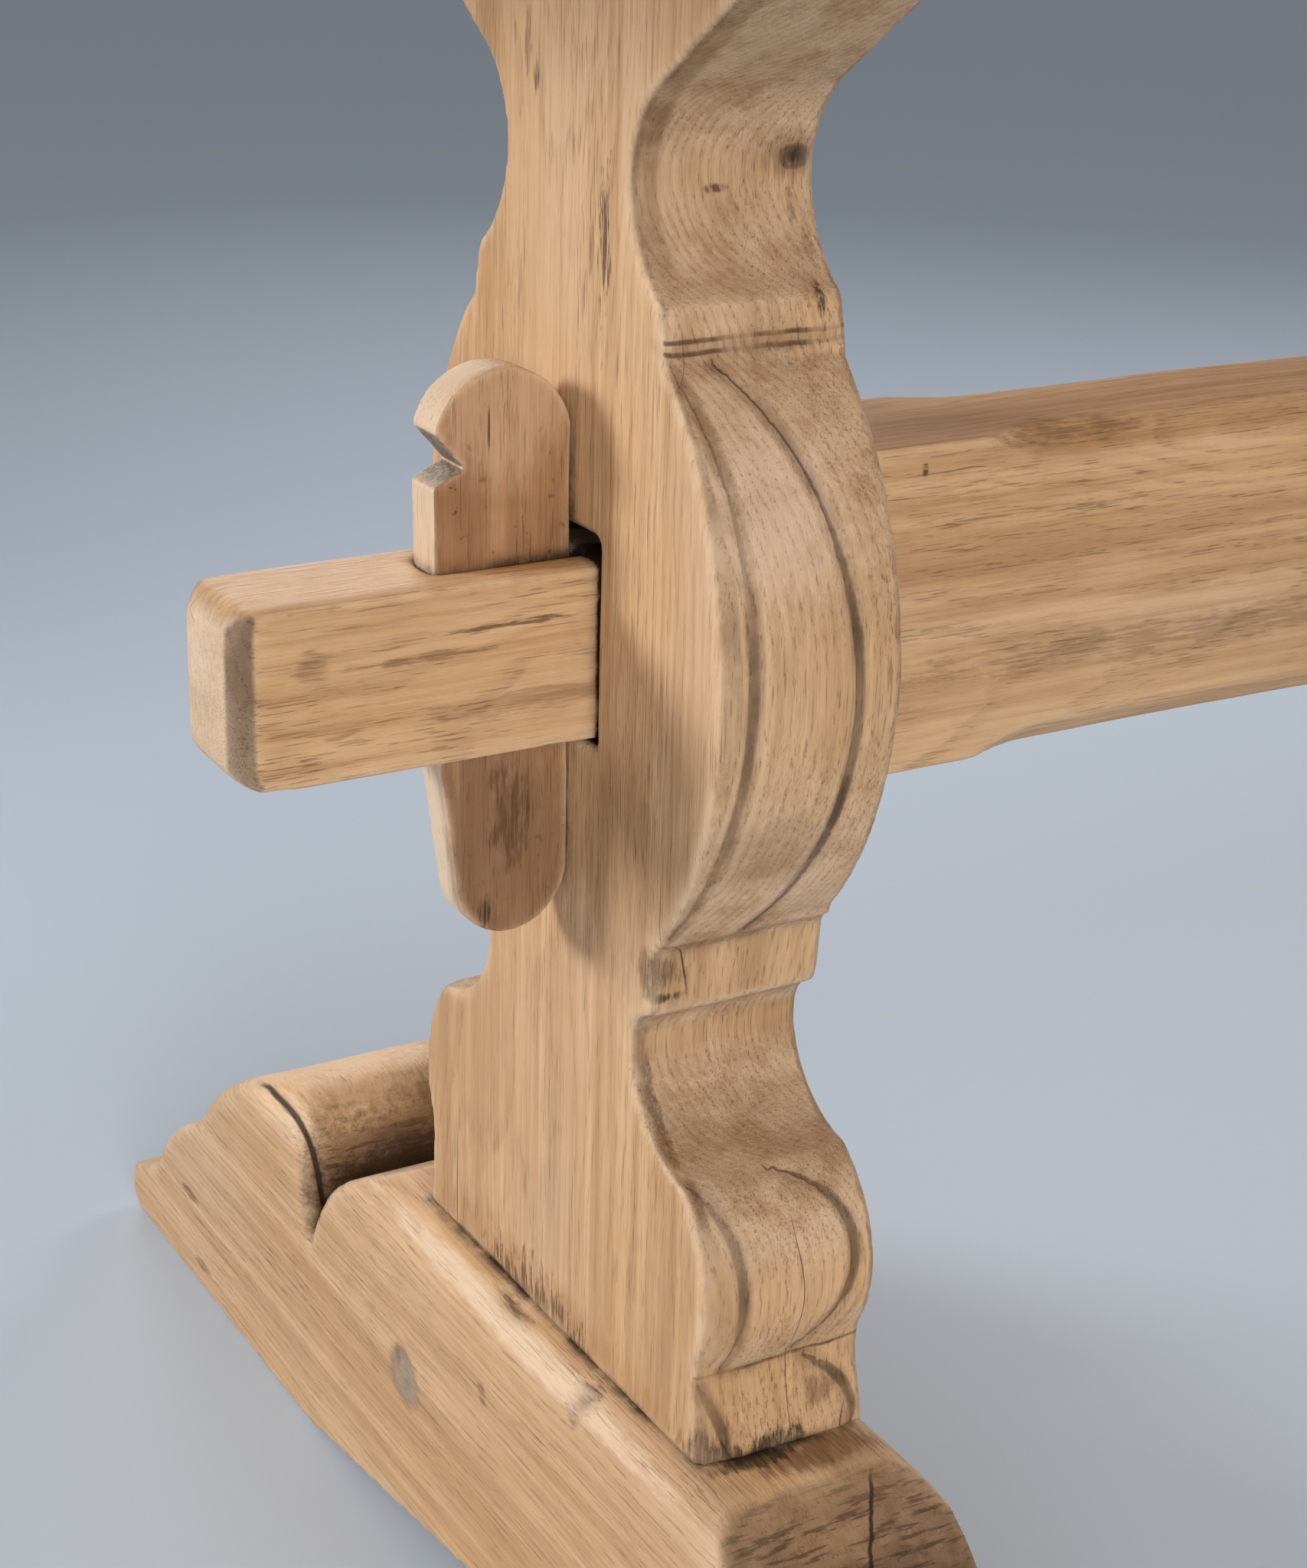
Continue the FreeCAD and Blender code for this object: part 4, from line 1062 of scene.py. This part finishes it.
for side in SIDES:
    node = f"{side}_post"
    post = merged_copy(f"{side}_post_oak", node)
    creases = {line: crease_points(post, **limits) for line, limits in LINES.items()}
    rub_down(post, POST_SKIN, passes=4)
    near = np.zeros(len(post.data.vertices))
    for line, points in creases.items():
        distance = line_distance(post.data, points)
        keep(post.data, line, distance)
        near = np.maximum(near, 1 - np.abs(distance))
    keep(post.data, "line_near", near)
    press_in(post.data, np.clip(near * 2 - 1, 0, 1), LINE_DEPTH)
    plane_by_hand(post, depth=0.0012, wavelength=0.060)
    plane_true(post.data, axis=0, low=-POST_FACE, high=POST_FACE)
    # The inside of the mortise is given painted shade.
    weather(post, (f"{side}_foot", f"{side}_head_bearer", f"{side}_wedge", "stretcher"), dark=in_mortise)
    pith = on_side(side, *POST_PITH)
    finish = oak_finish(
        f"{side}_post_finish", "Z", pith, BLEACHED, marks=POST_MARKS[side], scores=SCORE_HEIGHTS, lines=True,
        figure=0.14, ring_width=0.0026, dust=0.9, end_share=0.25, open_pores=0.40,
    )
    finish_piece(post, "base", "trestle_oak", finish, node)

# %% [markdown]
# ## Feet
# A sledge foot is a long billet lying on its two ends, with a pad for the post, a hump and a stepped toe.
# Its grain runs along it, so the slopes next to the pad and the flanks of the humps are cut across the
# grain: there the fibres stand open, drink in dirt and turn dark.

# %% Marks on the feet
FILLER = (0.400, 0.300, 0.215, 1.0)
SHOE_WEAR_AND_HIGHLIGHT = (0.860, 0.660, 0.470, 1.0)
# A warm honey, painted on up-facing tops as light from above.
TOP_LIGHT_HONEY = (0.880, 0.590, 0.330, 1.0)
FLANK_BROWN = (0.105, 0.062, 0.036, 1.0)
FOOT_MARKS = {
    "left": (
        blot("rim of the plug", (-0.739, 0.0905, 0.0805), (0.02, 0.0165, 0.0160),
             KNOT, 0.70, ragged=0.6, solid=0.8),
        blot("plug", (-0.739, 0.0895, 0.0795), (0.02, 0.0140, 0.0136), FILLER, 0.92, ragged=0.5, solid=0.9),
        blot("stain over the plug", (-0.739, 0.0965, 0.0870), (0.02, 0.0030, 0.0070), FADED_STAIN_AND_SHADE, 0.70),
        blot("small stain", (-0.739, 0.0214, 0.1119), (0.02, 0.0045, 0.0060),
             FADED_STAIN_AND_SHADE, 0.70, ragged=1.8),
        blot("toe streak", (-0.739, 0.3276, 0.0448), (0.02, 0.0150, 0.0034), KNOT, 0.65, ragged=2.4),
        blot("low toe streak", (-0.739, 0.3110, 0.0140), (0.02, 0.0120, 0.0034), KNOT, 0.60, ragged=2.4),
        blot("near chip", (-0.7300, -0.0425, 0.1460), (0.010, 0.0090, 0.010), STAIN, 0.85, ragged=2.8),
        blot("far chip", (-0.7257, 0.0183, 0.1487), (0.004, 0.0160, 0.010), STAIN, 0.75, ragged=2.6),
        blot("damp pad", (-0.676, -0.114, 0.150), (0.030, 0.010, 0.012),
             FADED_STAIN_AND_SHADE, 0.75, ragged=1.8, solid=0.7),
        blot("wet pad", (-0.700, -0.108, 0.150), (0.020, 0.005, 0.012), STAIN, 0.80, ragged=1.8, solid=0.6),
        # Pale wear from shoes, with a painted highlight along the pad's rounded outer arris.
        blot("pad rubbed by shoes, painted highlight", (-0.7325, 0.010, 0.1465), (0.0085, 0.150, 0.0085),
             SHOE_WEAR_AND_HIGHLIGHT, 0.75, solid=0.75),
        blot("hump rubbed by shoes", (-0.7330, 0.215, 0.1360), (0.0060, 0.030, 0.0120),
             SHOE_WEAR_AND_HIGHLIGHT, 0.45, ragged=1.2, solid=0.7),
        # Painted light on the top of the hump.
        blot("painted light on the hump", (-0.700, 0.262, 0.1400), (0.060, 0.090, 0.0180), TOP_LIGHT_HONEY, 0.80, solid=0.8),
    ),
    "right": (
        blot("knot", (0.737, -0.170, 0.075), (0.02, 0.011, 0.009), KNOT, 0.80, knot=True),
    ),
}
FOOT_CRACKS = {
    "left": {"start": (-0.6672, -0.1290), "lean": 0.635},
    "right": {"start": (0.7010, -0.1330), "lean": -0.30},
}
FOOT_DENTS = {
    "left": (
        {"centre": (-0.7300, -0.0425, 0.1460), "reach": (0.009, 0.010, 0.010), "depth": 0.0022},
        {"centre": (-0.7257, 0.0183, 0.1487), "reach": (0.005, 0.018, 0.010), "depth": 0.0018},
        {"centre": (-0.7370, 0.0900, 0.0800), "reach": (0.020, 0.009, 0.015), "depth": 0.0012},
    ),
    "right": (
        {"centre": (0.7300, 0.0600, 0.1480), "reach": (0.009, 0.012, 0.010), "depth": 0.0018},
    ),
}
print("Marks on the feet:", {side: len(marks) for side, marks in FOOT_MARKS.items()})

# %% [markdown]
# Shoes rub the pad and the humps round, more than a duster would, so these places are rubbed down much
# longer. The groove round each hump and the chips on the pad are pressed in after that, and the sole is
# planed true.

# %% Feet
FOOT_SKIN = 0.0021
PAD_HALF_LENGTH = 0.126
HUMP_FROM = 0.180
HUMP_END = (0.181, 0.230)
HUMP_END_LEVEL = 0.104
HUMP_FLANK = (0.688, 0.186, 0.104)
HUMP_FLANK_REACH = (0.058, 0.016, 0.036)
SHOE_LEVEL = 0.085
SHOES_REACH = FOOT_OUTER - 0.0145
GROOVE_RUN = (0.178, 0.248)
GROOVE_LOWEST = 0.102
GROOVE_CUT_HALF_WIDTH = 0.0030
GROOVE_DEPTH = 0.0016
FOOT_PITH = (0.700, 0.0, -0.110)


def hump_end(place):
    """The end of a hump that faces the post, worn to a bullnose."""
    return HUMP_END[0] < abs(place.y) < HUMP_END[1] and place.z > HUMP_END_LEVEL


def groove_mask(mesh):
    """Where the groove round each hump's end lies on the skin."""
    here = places(mesh)
    out, along = np.abs(here[:, :2]).T
    level = here[:, 2]
    away = np.abs(out - (level * GROOVE_LEAN + GROOVE_START))
    inside = (along > GROOVE_RUN[0]) & (along < GROOVE_RUN[1]) & (level > GROOVE_LOWEST)
    return np.clip(1 - away / GROOVE_CUT_HALF_WIDTH, 0, 1) * inside


def worn_by_shoes(place):
    """The outer arrises of a foot's pad and humps, where shoes rub."""
    outside = abs(place.x) > SHOES_REACH and place.z > SHOE_LEVEL
    return outside and (abs(place.y) < PAD_HALF_LENGTH or abs(place.y) > HUMP_FROM)


for side in SIDES:
    node = f"{side}_foot"
    foot = merged_copy(f"{side}_foot_oak", node)
    rub_down(foot, FOOT_SKIN, passes=5)
    soften(foot, passes=40, chosen=worn_by_shoes)
    soften(foot, passes=60, chosen=hump_end)
    press_in(foot.data, groove_mask(foot.data), GROOVE_DEPTH)
    for hollow in FOOT_DENTS[side]:
        dent(foot.data, **hollow)
    plane_by_hand(foot, depth=0.0014, wavelength=0.070)
    plane_true(foot.data, axis=2, low=0.0)
    weather(foot, (f"{side}_post",))
    pith = on_side(side, *FOOT_PITH)
    hump_flanks = tuple(
        blot("open grain of a hump", on_side(side, HUMP_FLANK[0], end * HUMP_FLANK[1], HUMP_FLANK[2]),
             HUMP_FLANK_REACH, FLANK_BROWN, 0.92, ragged=1.4, solid=0.75)
        for end in (-1, 1)
    )
    finish = oak_finish(
        f"{side}_foot_finish", "Y", pith, BLEACHED, end_share=0.90, end_from=0.12, end_within=0.186,
        marks=FOOT_MARKS[side] + hump_flanks, figure=0.14, ring_width=0.0036, open_rows=0.75, groove=True,
        crack=FOOT_CRACKS[side],
    )
    finish_piece(foot, "base", "trestle_oak", finish, node)

# %% [markdown]
# ## Stretcher and wedges
# The stretcher's tenons pass through the posts and are bevelled at their ends, and a wedge through each
# tenon pulls the post tight against the stretcher's shoulder. The wedges are darker wood, handled more than
# any other piece, and their arrises are rubbed quite round.

# %% Stretcher
STRETCHER_SKIN = 0.0025
STRETCHER_PITH = (0.0, 0.090, 0.385)
HIDDEN_FROM = POST_INNER + 0.0020
HIDDEN_UNTIL = POST_OUTER - 0.0030
TENON_TIP_FROM = TENON_END - 0.018
STRETCHER_MARKS = (
    # Painted light on the top of the tenon, in a warm honey.
    blot("painted light on the tenon", (-0.790, 0.000, 0.4420), (0.075, 0.040, 0.0050),
         TOP_LIGHT_HONEY, 0.65, ragged=0.8, solid=0.8),
    blot("tenon streak", (-0.778, -0.024, 0.4190), (0.030, 0.01, 0.0022), FADED_STAIN_AND_SHADE, 0.75, ragged=1.8),
    blot("tenon patch", (-0.817, -0.024, 0.4215), (0.007, 0.01, 0.0090), FADED_STAIN_AND_SHADE, 0.55, ragged=2.0),
    blot("streak at the post", (-0.745, -0.024, 0.4260), (0.030, 0.01, 0.0014), STAIN, 0.70, ragged=2.0),
    blot("faded streak", (-0.735, -0.024, 0.4000), (0.050, 0.01, 0.0050), FADED_STAIN_AND_SHADE, 0.40, ragged=2.0),
    blot("nail hole", (-0.600, -0.034, 0.4619), (0.0018, 0.01, 0.0030), STAIN, 0.80),
    blot("streak at the chamfer", (-0.536, -0.027, 0.4670), (0.040, 0.02, 0.0045),
         FADED_STAIN_AND_SHADE, 0.60, ragged=2.2),
    blot("long low streak", (-0.470, -0.034, 0.3890), (0.190, 0.02, 0.0075), FADED_STAIN_AND_SHADE, 0.45, ragged=2.2),
    blot("knot", (0.310, 0.034, 0.4250), (0.016, 0.02, 0.0100), KNOT, 0.80, knot=True),
)


def through_post(here):
    """The part of each tenon that is hidden in its mortise, which is given painted shade."""
    out = np.abs(here[:, 0])
    return (out > HIDDEN_FROM) & (out < HIDDEN_UNTIL)


def tenon_tip(place):
    """The bevelled ends of the tenons, rubbed rounder than the rest."""
    return abs(place.x) > TENON_TIP_FROM


stretcher = merged_copy("stretcher_oak", "stretcher")
rub_down(stretcher, STRETCHER_SKIN, passes=3)
soften(stretcher, passes=8, chosen=tenon_tip)
plane_by_hand(stretcher, depth=0.0012, wavelength=0.080)
# The tenons are given painted shade where they lie inside the mortises.
weather(stretcher, ("left_post", "right_post", "left_wedge", "right_wedge"), dark=through_post)
finish = oak_finish(
    "stretcher_finish", "X", STRETCHER_PITH, tinted(BLEACHED, 0.98), end_colour=PALE_END, end_share=0.85,
    end_from=0.55, open_rows=0.10, figure=0.20, open_pores=0.50, rim=0.85, marks=STRETCHER_MARKS,
)
finish_piece(stretcher, "base", "trestle_oak", finish, "stretcher")

# %% [markdown]
# A wedge has a pale, handled head, and its lower end is painted darker, as the shade of the tenon. Its
# bird's mouth is cut with a saw and stays crisp; its end grain there is painted dark, partly as shade.
# The face that bears on the post is planed true, a hair's breadth off the post.

# %% Wedges
WEDGE_SKIN = 0.0008
WEDGE_FACE = POST_OUTER + 0.0002
WEDGE_PITH = (0.745, 0.060, 0.0)
NOTCH_FROM = 0.7500
NOTCH_LEVEL = (0.462, 0.497)
NOTCH_END_AND_SHADE = (0.150, 0.104, 0.070, 1.0)
HANDLED = (0.640, 0.410, 0.240, 1.0)
WEDGE_SHADE = (0.215, 0.118, 0.063, 1.0)


def away_from_notch(place):
    """All of a wedge but its bird's mouth, which stays crisp."""
    return abs(place.x) < NOTCH_FROM or not NOTCH_LEVEL[0] < place.z < NOTCH_LEVEL[1]


for side in SIDES:
    node = f"{side}_wedge"
    wedge = merged_copy(f"{side}_wedge_oak", node)
    rub_down(wedge, WEDGE_SKIN, passes=2)
    soften(wedge, passes=14, chosen=away_from_notch)
    plane_by_hand(wedge, depth=0.0008, wavelength=0.035)
    if side == "left":
        plane_true(wedge.data, axis=0, high=-WEDGE_FACE)
    else:
        plane_true(wedge.data, axis=0, low=WEDGE_FACE)
    weather(wedge, ("stretcher",), wear_gain=11.0)
    pith = on_side(side, *WEDGE_PITH)
    wedge_marks = (
        blot("handled head", on_side(side, 0.747, -0.009, 0.4960), (0.032, 0.006, 0.036),
             HANDLED, 0.55, ragged=0.9, solid=0.8),
        # Painted shade: the tenon's shadow on the lower end of the wedge.
        blot("painted shade on the lower end", on_side(side, 0.746, -0.009, 0.3400), (0.040, 0.010, 0.056),
             WEDGE_SHADE, 0.72, ragged=0.8, solid=0.8),
        blot("dark streaks", on_side(side, 0.742, -0.009, 0.3545), (0.009, 0.004, 0.024),
             KNOT, 0.75, ragged=2.2, solid=0.5),
        blot("stained point", on_side(side, 0.7514, -0.009, 0.3195), (0.0040, 0.004, 0.0070),
             STAIN, 0.80, ragged=2.4, solid=0.4),
        blot("fine crack", on_side(side, 0.7500, -0.009, 0.4860), (0.0007, 0.004, 0.0100),
             STAIN, 0.80, ragged=0.8),
        # Dark end grain in the bird's mouth, painted darker still as shade.
        blot("notch end grain and shade", on_side(side, 0.764, 0.0, 0.4780), (0.020, 0.03, 0.0130),
             NOTCH_END_AND_SHADE, 0.95, ragged=0.3, solid=0.7, ends_only=True),
    )
    finish = oak_finish(
        f"{side}_wedge_finish", "Z", pith, HONEY, end_share=0.2, figure=0.20, ring_width=0.0030,
        marks=wedge_marks, speckle=0.75, pale_lit_sides=0.85,
    )
    finish_piece(wedge, f"{side}_key", "wedge_oak", finish, node)

# %% [markdown]
# ## Head bearers
# The bearers carry the top. They are sawn to a plain ogee at each end and are seen only from below or from
# the side.

# %% Head bearers
BEARER_SKIN = 0.0032
BEARER_PITH = (0.640, 0.0, 0.760)
for side in SIDES:
    node = f"{side}_head_bearer"
    bearer = merged_copy(f"{side}_head_bearer_oak", node)
    rub_down(bearer, BEARER_SKIN, passes=3)
    plane_by_hand(bearer, depth=0.0012, wavelength=0.080)
    weather(bearer, (f"{side}_post",))
    pith = on_side(side, *BEARER_PITH)
    finish = oak_finish(f"{side}_head_bearer_finish", "Y", pith, tinted(BLEACHED, 0.96), end_share=0.8)
    finish_piece(bearer, "base", "trestle_oak", finish, node)

# %% [markdown]
# ## Top
# Five boards are joined by loose tongues, and a breadboard end across each end keeps them flat. Each board
# comes from another part of the log, so each has its own pith and its own shade. The breadboard ends run
# across the table.

# %% Top boards and breadboard ends
BOARD_PITHS = (
    (0.0, -0.390, 0.880), (0.0, -0.150, 0.660), (0.0, 0.035, 0.900), (0.0, 0.215, 0.640), (0.0, 0.330, 0.890),
)
BREADBOARD_SKIN = 0.0022
BREADBOARD_PITH = (0.960, 0.0, 0.655)
BOARD_SHADES = (0.98, 1.04, 0.93, 1.02, 0.96)
BOARD_MARKS = (
    (),
    (blot("knot", (0.41, -0.205, 0.770), (0.016, 0.011, 0.05), KNOT, 0.8, knot=True),),
    (blot("knot", (-0.62, 0.030, 0.770), (0.013, 0.010, 0.05), KNOT, 0.8, knot=True),),
    (),
    (blot("knot", (0.13, 0.350, 0.770), (0.018, 0.012, 0.05), KNOT, 0.8, knot=True),),
)

for number, (pith, shade, marks) in enumerate(zip(BOARD_PITHS, BOARD_SHADES, BOARD_MARKS), start=1):
    node = f"top_board_{number}"
    board = merged_copy(f"{node}_oak", node)
    ease_arrises(board, width=0.0015)
    finish = oak_finish(
        f"{node}_finish", "X", pith, tinted(BLEACHED, shade), marks=marks, figure=0.34, worn=False,
    )
    finish_piece(board, "top", "top_oak", finish, node)

for side in SIDES:
    node = f"{side}_breadboard_end"
    end = merged_copy(f"{node}_oak", node)
    rub_down(end, BREADBOARD_SKIN, passes=2)
    plane_by_hand(end, depth=0.0008, wavelength=0.080)
    weather(end, (f"{side}_breadboard_pegs",), reach=0.003)
    pith = on_side(side, *BREADBOARD_PITH)
    finish = oak_finish(f"{node}_finish", "Y", pith, tinted(BLEACHED, 0.97), figure=0.32)
    finish_piece(end, "top", "top_oak", finish, node)

# %% [markdown]
# ## Pegs, dowels and loose tongues
# Riven oak pegs lock the tenons. Only their ends show, as darker dots of end grain.

# %% Pegs, dowels and loose tongues
PEG_GRAIN = {"foot_pegs": "X", "head_pegs": "X", "top_dowels": "Z", "breadboard_pegs": "Z"}
PEG_PITH_SHIFT = Vector((0.012, 0.009, 0.015))
TONGUE_PITH = (0.0, 0.0, 0.70)
PEG_BODY = {"foot_pegs": "base", "head_pegs": "base", "top_dowels": "base", "breadboard_pegs": "top"}

for kind, along in PEG_GRAIN.items():
    for side in SIDES:
        node = f"{side}_{kind}"
        pegs = merged_copy(f"{node}_oak", node)
        ease_arrises(pegs, width=0.0008)
        low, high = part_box(node)
        pith = (low + high) / 2 + PEG_PITH_SHIFT
        finish = oak_finish(f"{node}_finish", along, pith, PEG_TONES, ring_width=0.0030, worn=False)
        finish_piece(pegs, PEG_BODY[kind], "peg_oak", finish, node)

tongue_finish = oak_finish("loose_tongue_finish", "X", TONGUE_PITH, PEG_TONES, worn=False)
for number in range(1, 5):
    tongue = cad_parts[f"loose_tongue_{number}"]
    tongue.data.materials.clear()
    tongue.data.materials.append(tongue_finish)
